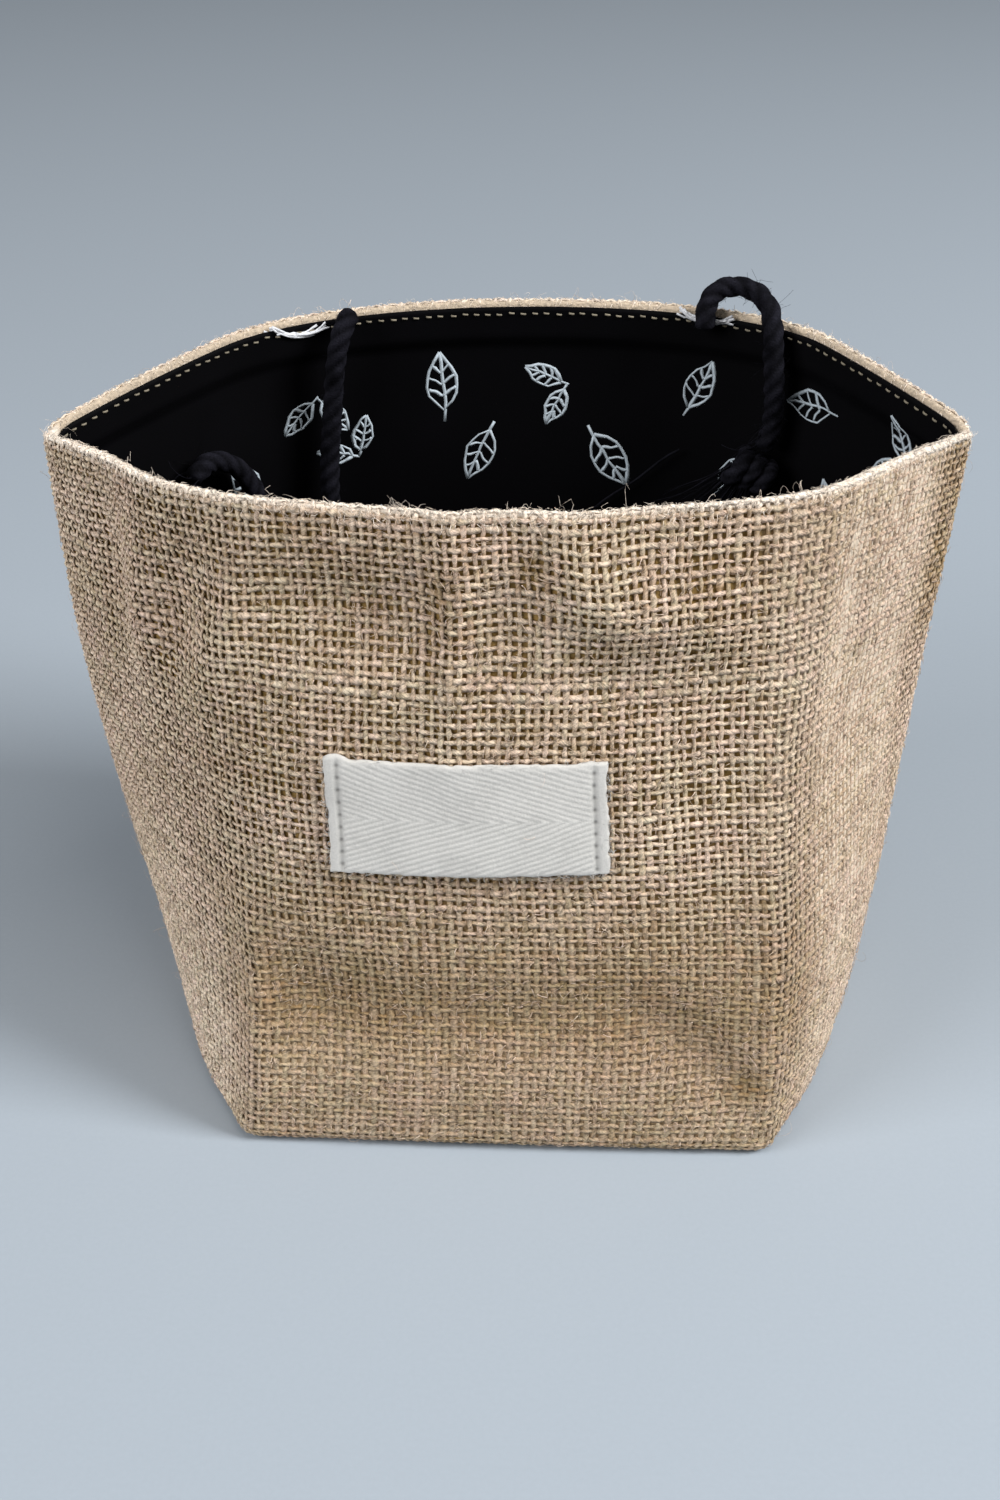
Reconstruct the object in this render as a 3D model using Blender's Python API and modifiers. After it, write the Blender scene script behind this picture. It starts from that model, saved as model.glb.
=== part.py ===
"""Lined burlap bag that stands open, with a blank tape label and two cord ties.

The bag is a seamed tube of cloth with a boxed base. Each level of its wall is a rounded outline
through twelve guide points: front, fold, cheek, seam, cheek, fold and back, on the right and on
the left. A short table of levels gives those guides; the levels between are blended.

Metres, +Z up. The label is on the -Y side, +X is to the right of someone who faces the label,
and the origin is the middle of the flat base.
"""

from collections import namedtuple

import bmesh
import bpy
import numpy as np
from mathutils import Vector

MM = 0.001

# Driving dimensions, in millimetres
RIM_HEIGHT = 149.0  # at the middle of the front and of the back
CORNER_HEIGHT = 140.0  # at the two mouth corners, where the seams lean out
RIM_TILT = 0.023  # rise of the rim for each millimetre to the right
RIM_POWER = 2.75  # how late the rim drops towards its corners
BURLAP_THICK = 1.5
HEM_THICK = 2.8  # turned-in burlap at the rim
HEM_DEPTH = 9.0
HEM_STEP = 2.5  # height over which the hem thins to the single cloth
LINING_THICK = 1.0
LINING_BELOW_RIM = 1.5
PIECE_GAP = 0.3
BASE_EDGE_RADIUS = 4.0
COLUMNS_PER_HALF = 46  # from seam to seam along the front, and again along the back

LABEL_WIDTH = 57.0
LABEL_HEIGHT = 25.0
LABEL_THICK = 0.9
LABEL_ACROSS = -6.6  # its middle, from the middle of the front
LABEL_UP = 84.4
LABEL_RISE = 0.025  # for each millimetre to the right
LABEL_GAP = 0.45
LABEL_STEPS = (10, 4)

CORD_RADIUS = 2.4
CORD_STEP = 4.0
CORD_SIDES_LEVEL = 2  # bevel resolution of the cord's tube
STRAND_RADIUS = 0.55
STRAND_SIDES = 4
STRAND_STEPS = 5
STRAND_TAPER = 0.45

# One row for each level of the wall. Share is the height as a share of the rim's. The other
# columns are in millimetres from the middle of the base, but for the three softness columns,
# where 0 is a sharp corner of the outline and 1 a fully rounded one.
Level = namedtuple(
    "Level",
    "share front fold_y fold_left fold_right cheek seam_left seam_right seam_y "
    "back_fold back_fold_y back fold_soft right_soft seam_soft",
)
LEVELS = (
    Level(0.00, -68.4, -67.6, 59.5, 59.0, 8.0, 79.0, 76.0, 0.0, 58.0, 62.5, 64.0, 0.15, 0.15, 0.90),
    Level(0.10, -68.0, -66.4, 56.5, 59.3, 7.5, 86.0, 83.0, 0.5, 58.0, 60.5, 65.0, 0.22, 0.18, 0.85),
    Level(0.25, -66.4, -63.0, 54.0, 59.5, 6.0, 94.0, 89.0, 1.5, 58.0, 59.0, 66.0, 0.36, 0.22, 0.80),
    Level(0.45, -62.6, -57.0, 54.0, 57.5, 4.0, 100.5, 92.5, 3.5, 58.0, 58.0, 67.0, 0.55, 0.26, 0.65),
    Level(0.65, -59.0, -51.0, 57.0, 56.0, 2.0, 104.7, 95.1, 5.5, 60.0, 58.0, 69.0, 0.80, 0.34, 0.53),
    Level(0.85, -54.8, -44.0, 61.0, 59.0, 0.5, 107.0, 98.1, 8.0, 61.0, 59.0, 71.0, 0.95, 0.65, 0.50),
    Level(1.00, -51.5, -40.0, 65.0, 60.0, 0.0, 108.3, 100.1, 10.0, 62.0, 60.0, 71.5, 1.00, 1.00, 0.50),
)

# Soft hollows in the wall: where the middle is, along the cloth from the middle of the front
# or back and up from the base, how far the hollow reaches along each of its two axes, how many
# degrees those axes are turned, and how deep it is (below zero for a bulge or a crease).
Hollow = namedtuple("Hollow", "side across up reach_across reach_up turn depth")
HOLLOWS = (
    Hollow("front", -8.5, 127.0, 5.0, 26.0, 0.0, -2.0),
    Hollow("front", 4.0, 129.0, 7.0, 17.0, -20.0, 2.0),
    Hollow("front", 19.0, 134.0, 14.0, 8.0, -62.0, -3.0),
    Hollow("front", 35.0, 127.0, 18.0, 7.0, -12.0, -2.6),
    Hollow("front", 22.0, 114.0, 16.0, 7.0, -30.0, 1.0),
    Hollow("front", -26.0, 126.0, 20.0, 10.0, 0.0, 3.6),
    Hollow("front", -97.0, 122.0, 6.0, 16.0, 0.0, 1.6),
    Hollow("front", -84.0, 116.0, 6.0, 18.0, -8.0, -2.4),
    Hollow("front", -70.0, 120.0, 6.0, 16.0, -20.0, 2.0),
    Hollow("front", -58.0, 115.0, 6.0, 17.0, -20.0, -2.2),
    Hollow("front", 0.0, 74.0, 52.0, 14.0, 0.0, -0.5),
    Hollow("front", 0.0, 35.0, 44.0, 12.0, 0.0, 2.4),
    Hollow("front", -43.0, 38.0, 12.0, 13.0, 0.0, 3.0),
    Hollow("front", 41.0, 25.0, 20.0, 8.5, -42.0, 2.6),
    Hollow("front", 56.5, 62.0, 4.0, 52.0, 0.0, -0.8),
    Hollow("front", -56.0, 36.0, 4.5, 20.0, 0.0, -1.8),
    Hollow("front", 46.0, 88.0, 9.0, 22.0, 0.0, 1.3),
    Hollow("front", 90.0, 88.0, 14.0, 26.0, 0.0, 1.6),
    Hollow("front", 78.0, 124.0, 6.0, 18.0, 0.0, 1.2),
    Hollow("back", 12.0, 96.0, 15.0, 34.0, 0.0, 1.5),
    Hollow("back", -30.0, 60.0, 22.0, 20.0, 0.0, -1.2),
    Hollow("back", 34.0, 38.0, 20.0, 16.0, 0.0, 1.3),
    Hollow("back", 88.0, 70.0, 16.0, 26.0, 0.0, 1.5),
    Hollow("back", -90.0, 80.0, 15.0, 24.0, 0.0, 1.3),
)

# Heights of the wall's rows, in millimetres at the middle of the front
WALL_ROWS = (13.0, 24.0, 36.0, 50.0, 65.0, 80.0, 95.0, 109.0, 122.0, 132.0)

# Routes of the ties, in millimetres, from the rim to the free end. Each hangs against the
# inside of the back wall.
LEFT_ROUTE = (
    (-41.4, 57.0, 148.3),
    (-42.4, 55.3, 147.2),
    (-43.9, 53.3, 144.2),
    (-45.2, 52.7, 139.0),
    (-46.0, 52.7, 132.0),
    (-46.7, 52.7, 125.0),
    (-47.5, 52.3, 117.0),
    (-48.0, 51.6, 108.0),
    (-48.2, 51.0, 99.0),
    (-48.8, 50.4, 90.5),
    (-51.2, 49.0, 83.4),
    (-55.4, 46.6, 80.4),
    (-59.4, 44.4, 83.4),
    (-61.4, 43.0, 91.0),
    (-62.8, 42.4, 100.0),
    (-65.2, 41.0, 109.6),
    (-69.0, 38.0, 117.0),
    (-73.6, 33.6, 119.8),
    (-77.6, 28.8, 117.1),
)
RIGHT_ROUTE = (
    (41.8, 56.1, 145.8),
    (41.6, 56.2, 148.6),
    (42.2, 57.2, 151.8),
    (44.4, 58.2, 154.6),
    (48.4, 58.3, 155.7),
    (52.6, 56.8, 155.2),
    (55.8, 53.3, 153.0),
    (57.0, 49.8, 148.4),
    (57.5, 48.0, 142.0),
    (58.2, 47.3, 135.0),
    (58.4, 47.0, 128.0),
    (57.6, 46.6, 123.0),
    (56.2, 46.4, 119.9),
)

# Ends of the ties: a lumpy head, and strands that leave it in a bundle that opens out
End = namedtuple("End", "head radius width strands length aim opening")
LEFT_END = End((-78.8, 26.0, 113.2), 4.0, 1.1, 12, 16.0, (0.10, -0.10, -1.0), 0.22)
RIGHT_END = End((54.0, 46.0, 114.3), 5.4, 1.35, 18, 24.0, (-0.50, -0.06, -1.0), 0.34)
HEAD_LUMP = 0.10  # height of the lumps, as a share of the head's radius
GOLDEN_TURN = np.radians(137.508)

MATERIALS = {
    "burlap_shell": ((0.42, 0.31, 0.19), 0.9),
    "cotton_lining": ((0.010, 0.009, 0.012), 0.8),
    "tape_label": ((0.66, 0.65, 0.60), 0.85),
    "tie_left": ((0.012, 0.012, 0.014), 0.85),
    "tie_right": ((0.012, 0.012, 0.014), 0.85),
    "tassel_left": ((0.012, 0.012, 0.014), 0.85),
    "tassel_right": ((0.012, 0.012, 0.014), 0.85),
}


def blend_rows(share):
    """The levels at the given shares: a smooth curve through the table, column by column."""
    table = np.array(LEVELS)
    known, values = table[:, 0], table[:, 1:]
    slope = np.diff(values, axis=0) / np.diff(known)[:, None]
    tangent = np.vstack([slope[:1], (slope[1:] + slope[:-1]) / 2, slope[-1:]])
    index = np.clip(np.searchsorted(known, share) - 1, 0, len(known) - 2)
    span = (known[index + 1] - known[index])[:, None]
    t = (share[:, None] - known[index][:, None]) / span
    return (
        (2 * t**3 - 3 * t**2 + 1) * values[index]
        + (t**3 - 2 * t**2 + t) * span * tangent[index]
        + (3 * t**2 - 2 * t**3) * values[index + 1]
        + (t**3 - t**2) * span * tangent[index + 1]
    )


def guide_points(level):
    """The twelve guide points of one level, anticlockwise from the front, and their softness."""
    points = [
        (0.0, level.front),
        (level.fold_right, level.fold_y),
        None,
        (level.seam_right, level.seam_y),
        None,
        (level.back_fold, level.back_fold_y),
        (0.0, level.back),
        (-level.back_fold, level.back_fold_y),
        None,
        (-level.seam_left, level.seam_y),
        None,
        (-level.fold_left, level.fold_y),
    ]
    fold, right, seam = level.fold_soft, level.right_soft, level.seam_soft
    softness = (1.0, right, 1.0, seam, 1.0, fold, 1.0, fold, 1.0, seam, 1.0, fold)
    for cheek in (2, 4, 8, 10):
        start = np.array(points[cheek - 1])
        end = np.array(points[(cheek + 1) % 12])
        along = (end - start) / np.linalg.norm(end - start)
        points[cheek] = (start + end) / 2 + level.cheek * np.array((along[1], -along[0]))
    return np.array([tuple(point) for point in points]), softness


def corner_arcs(level, steps=24):
    """Each guide point's corner, rounded by a parabola that starts and ends on its two sides."""
    points, softness = guide_points(level)
    t = np.linspace(0, 1, steps + 1)[:, None]
    arcs = []
    for index, point in enumerate(points):
        start = point + (points[index - 1] - point) * softness[index] / 2
        end = point + (points[(index + 1) % 12] - point) * softness[index] / 2
        arcs.append((1 - t) ** 2 * start + 2 * t * (1 - t) * point + t**2 * end)
    return arcs


def half_outline(level, side, places):
    """Points of the outline from seam to seam, at the given shares of its length."""
    arcs = corner_arcs(level)
    order = (9, 10, 11, 0, 1, 2, 3) if side == "front" else (3, 4, 5, 6, 7, 8, 9)
    middle = len(arcs[0]) // 2
    pieces = [arcs[index] for index in order]
    pieces[0] = pieces[0][middle:]
    pieces[-1] = pieces[-1][: middle + 1]
    path = np.vstack(pieces)
    length = np.concatenate([[0], np.cumsum(np.linalg.norm(np.diff(path, axis=0), axis=1))])
    along = places * length[-1]
    points = np.stack([np.interp(along, length, path[:, axis]) for axis in (0, 1)], axis=-1)
    return points, along - length[-1] / 2


def hollow_depth(side, across, up):
    """Depth of all the soft hollows at a place on the cloth: a sum of bell curves."""
    depth = np.zeros_like(across)
    for hollow in HOLLOWS:
        if hollow.side == side:
            turn = np.radians(hollow.turn)
            x, y = across - hollow.across, up - hollow.up
            wide = (x * np.cos(turn) + y * np.sin(turn)) / hollow.reach_across
            high = (y * np.cos(turn) - x * np.sin(turn)) / hollow.reach_up
            depth += hollow.depth * np.exp(-(wide**2) - high**2)
    return depth


def wall_line(share, side, places):
    """One level of the wall, from seam to seam, in millimetres."""
    level = Level(share, *blend_rows(np.array([share]))[0])
    points, across = half_outline(level, side, places)
    drop = np.abs(2 * places - 1) ** RIM_POWER
    rim = RIM_HEIGHT - (RIM_HEIGHT - CORNER_HEIGHT) * drop + RIM_TILT * points[:, 0]
    height = share * rim
    along = np.gradient(points, axis=0)
    along /= np.linalg.norm(along, axis=1)[:, None]
    outward = np.stack([along[:, 1], -along[:, 0]], axis=-1)
    if side == "back":
        across = -across
    points = points - outward * hollow_depth(side, across, height)[:, None]
    return np.column_stack([points, height])


def wall_ring(share):
    """A whole level: the front from the left seam to the right one, then the back."""
    places = np.linspace(0, 1, COLUMNS_PER_HALF + 1)
    front = wall_line(share, "front", places)
    back = wall_line(share, "back", places)
    return np.vstack([front[:-1], back[:-1]])


def bag_rings():
    """The rings of the bag's outer face from the flat base up to the rim, in millimetres."""
    floor = wall_ring(0.0)
    centre = floor[:, :2].mean(axis=0)
    rings = []
    for turn in (0.0, 30.0, 60.0):
        inset = BASE_EDGE_RADIUS * (1 - np.sin(np.radians(turn)))
        rise = BASE_EDGE_RADIUS * (1 - np.cos(np.radians(turn)))
        ring = wall_ring(rise / RIM_HEIGHT)
        from_centre = ring[:, :2] - centre
        distance = np.linalg.norm(from_centre, axis=1)[:, None]
        ring[:, :2] -= from_centre / distance * inset
        ring[:, 2] = rise
        rings.append(ring)
    rings.append(wall_ring(BASE_EDGE_RADIUS / RIM_HEIGHT))
    rings += [wall_ring(height / RIM_HEIGHT) for height in WALL_ROWS]
    hem = RIM_HEIGHT - HEM_DEPTH
    for height in (hem - HEM_STEP, hem, RIM_HEIGHT - LINING_BELOW_RIM, RIM_HEIGHT):
        rings.append(wall_ring(height / RIM_HEIGHT))
    return rings


def open_bag(name, rings):
    """An open surface: one flat face for the base and a band of faces between each two rings."""
    count = len(rings[0])
    vertices = [Vector(point) * MM for ring in rings for point in ring]
    faces = [tuple(reversed(range(count)))]
    for row in range(len(rings) - 1):
        low, high = row * count, (row + 1) * count
        for column in range(count):
            following = (column + 1) % count
            faces.append((low + column, low + following, high + following, high + column))
    mesh = bpy.data.meshes.new(name)
    mesh.from_pydata(vertices, [], faces)
    return mesh


def inset_mesh(mesh, distances, count):
    """Moves each ring of vertices inwards by its own distance, square to the faces."""
    work = bmesh.new()
    work.from_mesh(mesh)
    work.normal_update()
    work.verts.ensure_lookup_table()
    moves = [
        vertex.normal * vertex.calc_shell_factor() * distances[index // count]
        for index, vertex in enumerate(work.verts)
    ]
    for vertex, move in zip(work.verts, moves):
        vertex.co -= move
    work.to_mesh(mesh)
    work.free()


def finish(name, mesh, collection, smooth_angle=40.0):
    """An object for the mesh, with its own material, shaded smooth but for its sharp edges."""
    part = bpy.data.objects.new(name, mesh)
    collection.objects.link(part)
    colour, roughness = MATERIALS[name]
    material = bpy.data.materials.new(name)
    material.use_nodes = True
    shader = material.node_tree.nodes["Principled BSDF"]
    shader.inputs["Base Color"].default_value = (*colour, 1.0)
    shader.inputs["Roughness"].default_value = roughness
    shader.inputs["Metallic"].default_value = 0.0
    part.data.materials.append(material)
    if hasattr(mesh, "shade_smooth"):
        mesh.shade_smooth()
        mesh.set_sharp_from_angle(angle=np.radians(smooth_angle))
    return part


def add_thickness(part, thickness, offset):
    """Gives an open cloth its thickness, measured square to its faces."""
    solid = part.modifiers.new("thickness", "SOLIDIFY")
    solid.thickness = thickness
    solid.offset = offset
    solid.use_even_offset = True
    return solid


def build_shell(rings, collection):
    """The burlap bag, single cloth below and a thicker turned-in hem at the rim."""
    mesh = open_bag("burlap_shell", rings)
    shell = finish("burlap_shell", mesh, collection)
    count = len(rings[0])
    hem = shell.vertex_groups.new(name="hem")
    first_hem_ring = len(rings) - 3
    hem.add(range(first_hem_ring * count, len(rings) * count), 1.0, "REPLACE")
    solid = add_thickness(shell, HEM_THICK * MM, -1.0)
    solid.vertex_group = "hem"
    solid.thickness_vertex_group = BURLAP_THICK / HEM_THICK
    return shell


def build_lining(rings, collection):
    """The cotton bag, a gap inside the burlap, up to just below the rim."""
    count = len(rings[0])
    mesh = open_bag("cotton_lining", rings)
    hem_rings = 3
    distances = [BURLAP_THICK + PIECE_GAP] * (len(rings) - hem_rings)
    distances += [HEM_THICK + PIECE_GAP] * hem_rings
    inset_mesh(mesh, [distance * MM for distance in distances], count)
    trim = bmesh.new()
    trim.from_mesh(mesh)
    trim.verts.ensure_lookup_table()
    bmesh.ops.delete(trim, geom=trim.verts[(len(rings) - 1) * count :], context="VERTS")
    trim.to_mesh(mesh)
    trim.free()
    lining = finish("cotton_lining", mesh, collection)
    add_thickness(lining, LINING_THICK * MM, -1.0)
    return lining


def front_point(across, up):
    """The point of the front at a distance from its middle and a height, in millimetres."""
    share = up / RIM_HEIGHT
    places = np.linspace(0, 1, 241)
    line = wall_line(share, "front", places)
    level = Level(share, *blend_rows(np.array([share]))[0])
    along = half_outline(level, "front", places)[1]
    return Vector([np.interp(across, along, line[:, axis]) for axis in range(3)])


def build_label(collection):
    """A strip of tape that follows the front, a little way off the burlap."""
    columns, rows = LABEL_STEPS
    vertices = []
    for up in np.linspace(-0.5, 0.5, rows + 1) * LABEL_HEIGHT + LABEL_UP:
        for across in np.linspace(-0.5, 0.5, columns + 1) * LABEL_WIDTH:
            point = front_point(across + LABEL_ACROSS, up + across * LABEL_RISE)
            vertices.append(point * MM)
    faces = []
    for row in range(rows):
        for column in range(columns):
            corner = row * (columns + 1) + column
            faces.append((corner, corner + 1, corner + columns + 2, corner + columns + 1))
    mesh = bpy.data.meshes.new("tape_label")
    mesh.from_pydata(vertices, [], faces)
    inset_mesh(mesh, [-LABEL_GAP * MM], len(vertices))
    label = finish("tape_label", mesh, collection)
    add_thickness(label, LABEL_THICK * MM, 1.0)
    return label


def smooth_route(route, step):
    """Points along a smooth curve through the route's own points, a step or less apart."""
    points = np.array(route)
    chord = np.concatenate([[0], np.cumsum(np.linalg.norm(np.diff(points, axis=0), axis=1))])
    tangent = np.gradient(points, chord, axis=0)
    count = int(np.ceil(chord[-1] / step)) + 1
    along = np.linspace(0, chord[-1], count)
    index = np.clip(np.searchsorted(chord, along) - 1, 0, len(chord) - 2)
    span = (chord[index + 1] - chord[index])[:, None]
    t = (along[:, None] - chord[index][:, None]) / span
    return (
        (2 * t**3 - 3 * t**2 + 1) * points[index]
        + (t**3 - 2 * t**2 + t) * span * tangent[index]
        + (3 * t**2 - 2 * t**3) * points[index + 1]
        + (t**3 - t**2) * span * tangent[index + 1]
    )


def build_tie(name, route, collection):
    """A cord: a round tube along its route."""
    curve = bpy.data.curves.new(name, "CURVE")
    curve.dimensions = "3D"
    curve.bevel_depth = CORD_RADIUS * MM
    curve.bevel_resolution = CORD_SIDES_LEVEL
    curve.use_fill_caps = True
    points = smooth_route(route, CORD_STEP)
    spline = curve.splines.new("POLY")
    spline.points.add(len(points) - 1)
    for place, point in zip(spline.points, points):
        place.co = (*(Vector(point) * MM), 1.0)
    spline.use_smooth = True
    return finish(name, curve, collection)


def add_strand(work, start, aim, bow):
    """Adds one tapering strand: a square tube along a parabola that leaves along aim."""
    rings = []
    for step in range(STRAND_STEPS + 1):
        t = step / STRAND_STEPS
        middle = start + aim * t + bow * t * t
        heading = (aim + bow * 2 * t).normalized()
        across = heading.cross(Vector((0.0, 1.0, 0.0))).normalized()
        upright = heading.cross(across)
        width = STRAND_RADIUS * (1 - STRAND_TAPER * t)
        ring = []
        for corner in range(STRAND_SIDES):
            angle = 2 * np.pi * corner / STRAND_SIDES
            offset = across * np.cos(angle) + upright * np.sin(angle)
            ring.append(work.verts.new((middle + offset * width) * MM))
        rings.append(ring)
    for low, high in zip(rings, rings[1:]):
        for corner in range(STRAND_SIDES):
            after = (corner + 1) % STRAND_SIDES
            work.faces.new((low[corner], low[after], high[after], high[corner]))
    work.faces.new(tuple(reversed(rings[0])))
    work.faces.new(rings[-1])


def head_mesh(name, end):
    """The head: a sphere drawn wide, with soft lumps round it."""
    work = bmesh.new()
    bmesh.ops.create_icosphere(work, subdivisions=2, radius=end.radius)
    for vertex in work.verts:
        x, y, z = vertex.co / end.radius
        lump = 1 + HEAD_LUMP * np.sin(4.0 * x + 1.0) * np.cos(3.5 * z) + HEAD_LUMP * np.sin(5.0 * y)
        wide = Vector((x * end.width, y * 0.85, z)) * end.radius * lump
        vertex.co = (Vector(end.head) + wide) * MM
    mesh = bpy.data.meshes.new(name)
    work.to_mesh(mesh)
    work.free()
    return mesh


def build_end(name, end, collection, guides):
    """A tie's end: the head joined with strands that fan out, so that none meets another.

    The strands start on a flat spiral inside the head and lean away from its middle.
    """
    aim = Vector(end.aim).normalized()
    sideways = aim.cross(Vector((0.0, 1.0, 0.0))).normalized()
    forwards = aim.cross(sideways)
    random = np.random.default_rng(end.strands)
    work = bmesh.new()
    for index in range(end.strands):
        out = np.sqrt((index + 0.5) / end.strands)
        turn = index * GOLDEN_TURN
        offset = sideways * (out * np.cos(turn) * end.width) + forwards * (out * np.sin(turn) * 0.8)
        reach = end.length * (0.75 + 0.35 * random.random())
        start = Vector(end.head) + offset * end.radius * 0.55
        bow = offset * end.length * 0.16 + Vector((0.0, 0.0, -2.0))
        add_strand(work, start, (aim + offset * end.opening).normalized() * reach, bow)
    mesh = bpy.data.meshes.new(name + "_strands")
    work.to_mesh(mesh)
    work.free()
    strands = bpy.data.objects.new(name + "_strands", mesh)
    guides.objects.link(strands)
    strands.hide_render = True
    strands.display_type = "WIRE"
    tassel = finish(name, head_mesh(name, end), collection)
    union = tassel.modifiers.new("strands", "BOOLEAN")
    union.operation = "UNION"
    union.solver = "EXACT"
    union.object = strands
    return tassel


def main():
    for old in list(bpy.data.objects):
        bpy.data.objects.remove(old)
    collection = bpy.data.collections.new("burlap_bag")
    guides = bpy.data.collections.new("guides")
    bpy.context.scene.collection.children.link(collection)
    bpy.context.scene.collection.children.link(guides)
    rings = bag_rings()
    build_shell(rings, collection)
    build_lining(rings, collection)
    build_label(collection)
    build_tie("tie_left", LEFT_ROUTE, collection)
    build_tie("tie_right", RIGHT_ROUTE, collection)
    build_end("tassel_left", LEFT_END, collection, guides)
    build_end("tassel_right", RIGHT_END, collection, guides)


main()
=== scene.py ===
"""Looks of the lined burlap bag: woven jute wall, printed lining, tape label and cord ties.

The file is laid out as an add-on. Each operator makes one piece or one group of like pieces
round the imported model, and main() calls them in order. Settings are in metres; the functions
that work out the cloth use millimetres and are turned into metres as a mesh is made.
"""

from collections import namedtuple

import bpy
import numpy as np
from mathutils import Matrix, Vector


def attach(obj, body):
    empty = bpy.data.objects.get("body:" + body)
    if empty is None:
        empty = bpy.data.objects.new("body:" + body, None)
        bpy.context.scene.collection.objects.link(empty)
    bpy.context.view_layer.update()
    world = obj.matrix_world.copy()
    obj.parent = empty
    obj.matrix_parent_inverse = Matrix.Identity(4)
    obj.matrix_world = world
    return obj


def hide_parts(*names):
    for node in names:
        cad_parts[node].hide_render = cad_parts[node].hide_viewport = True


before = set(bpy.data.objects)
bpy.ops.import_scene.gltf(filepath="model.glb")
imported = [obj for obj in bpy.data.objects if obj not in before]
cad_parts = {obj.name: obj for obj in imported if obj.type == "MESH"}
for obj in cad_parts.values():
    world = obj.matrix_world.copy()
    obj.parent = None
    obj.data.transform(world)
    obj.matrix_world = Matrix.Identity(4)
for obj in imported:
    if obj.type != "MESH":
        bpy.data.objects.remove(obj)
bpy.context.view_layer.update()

bl_info = {
    "name": "Burlap Bag",
    "version": (1, 0, 0),
    "blender": (4, 5, 0),
    "location": "3D View > Sidebar > Burlap Bag",
    "description": "Makes the woven wall, lining, label and ties of a lined burlap bag",
    "category": "Object",
}

MM = 0.001
BODY = "root"
UV_MAP = "OFBake"  # each piece's own map, from 0 to 1 with no stacked faces

# The bag's wall, with the same driving sizes as its solids, in millimetres
RIM_HEIGHT = 149.0
CORNER_HEIGHT = 140.0
RIM_TILT = 0.023
RIM_POWER = 2.75
BASE_RADIUS = 4.0
CLOTH_DEPTH = 0.75  # middle of the burlap, in from the solid's outer face
FOLD_RADIUS = 0.95  # of the turned-in rim, at the middle of the cloth
FOLD_START = RIM_HEIGHT - FOLD_RADIUS - 0.5
HEM_DEPTH = 9.0
HEM_STEP = 2.5
LINING_DEPTH = 1.95  # lining's outer face, in from the wall's, below the hem
LINING_TOP = 1.6  # below the rim
HALF_WIDTH = 250.0  # of the cloth, from seam to seam
GRID_ROWS = 299
GRID_COLUMNS = 501
RING_STEPS = 66  # of the ground and the lining, in each half
NOISE_NET = 128
HALVES = ("front", "back")

# The wall's outline at each share of its height, in the order of Level's names
Level = namedtuple(
    "Level",
    "share front fold_y fold_left fold_right cheek seam_left seam_right seam_y "
    "back_fold back_fold_y back fold_soft right_soft seam_soft",
)
LEVELS = (
    (0.00, -68.4, -67.6, 59.5, 59.0, 8.0, 79.0, 76.0, 0.0, 58.0, 62.5, 64.0, 0.15, 0.15, 0.90),
    (0.10, -68.0, -66.4, 56.5, 59.3, 7.5, 86.0, 83.0, 0.5, 58.0, 60.5, 65.0, 0.22, 0.18, 0.85),
    (0.25, -66.4, -63.0, 54.0, 59.5, 6.0, 94.0, 89.0, 1.5, 58.0, 59.0, 66.0, 0.36, 0.22, 0.80),
    (0.45, -62.6, -57.0, 54.0, 57.5, 4.0, 100.5, 92.5, 3.5, 58.0, 58.0, 67.0, 0.55, 0.26, 0.65),
    (0.65, -59.0, -51.0, 57.0, 56.0, 2.0, 104.7, 95.1, 5.5, 60.0, 58.0, 69.0, 0.80, 0.34, 0.53),
    (0.85, -54.8, -44.0, 61.0, 59.0, 0.5, 107.0, 98.1, 8.0, 61.0, 59.0, 71.0, 0.95, 0.65, 0.50),
    (1.00, -51.5, -40.0, 65.0, 60.0, 0.0, 108.3, 100.1, 10.0, 62.0, 60.0, 71.5, 1.00, 1.00, 0.50),
)

# Soft hollows: place across and up, reach across and up, turn in degrees, depth (or rise)
HOLLOWS = {
    "front": (
        (-8.5, 127.0, 5.0, 26.0, 0.0, -2.0),
        (4.0, 129.0, 7.0, 17.0, -20.0, 2.0),
        (19.0, 134.0, 14.0, 8.0, -62.0, -3.0),
        (35.0, 127.0, 18.0, 7.0, -12.0, -2.6),
        (22.0, 114.0, 16.0, 7.0, -30.0, 1.0),
        (-26.0, 126.0, 20.0, 10.0, 0.0, 3.6),
        (-97.0, 122.0, 6.0, 16.0, 0.0, 1.6),
        (-84.0, 116.0, 6.0, 18.0, -8.0, -2.4),
        (-70.0, 120.0, 6.0, 16.0, -20.0, 2.0),
        (-58.0, 115.0, 6.0, 17.0, -20.0, -2.2),
        (0.0, 74.0, 52.0, 14.0, 0.0, -0.5),
        (0.0, 35.0, 44.0, 12.0, 0.0, 2.4),
        (-43.0, 38.0, 12.0, 13.0, 0.0, 3.0),
        (41.0, 25.0, 20.0, 8.5, -42.0, 2.6),
        (56.5, 62.0, 4.0, 52.0, 0.0, -0.8),
        (-56.0, 36.0, 4.5, 20.0, 0.0, -1.8),
        (46.0, 88.0, 9.0, 22.0, 0.0, 1.3),
        (90.0, 88.0, 14.0, 26.0, 0.0, 1.6),
        (78.0, 124.0, 6.0, 18.0, 0.0, 1.2),
    ),
    "back": (
        (12.0, 96.0, 15.0, 34.0, 0.0, 1.5),
        (-30.0, 60.0, 22.0, 20.0, 0.0, -1.2),
        (34.0, 38.0, 20.0, 16.0, 0.0, 1.3),
        (88.0, 70.0, 16.0, 26.0, 0.0, 1.5),
        (-90.0, 80.0, 15.0, 24.0, 0.0, 1.3),
    ),
}

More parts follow.
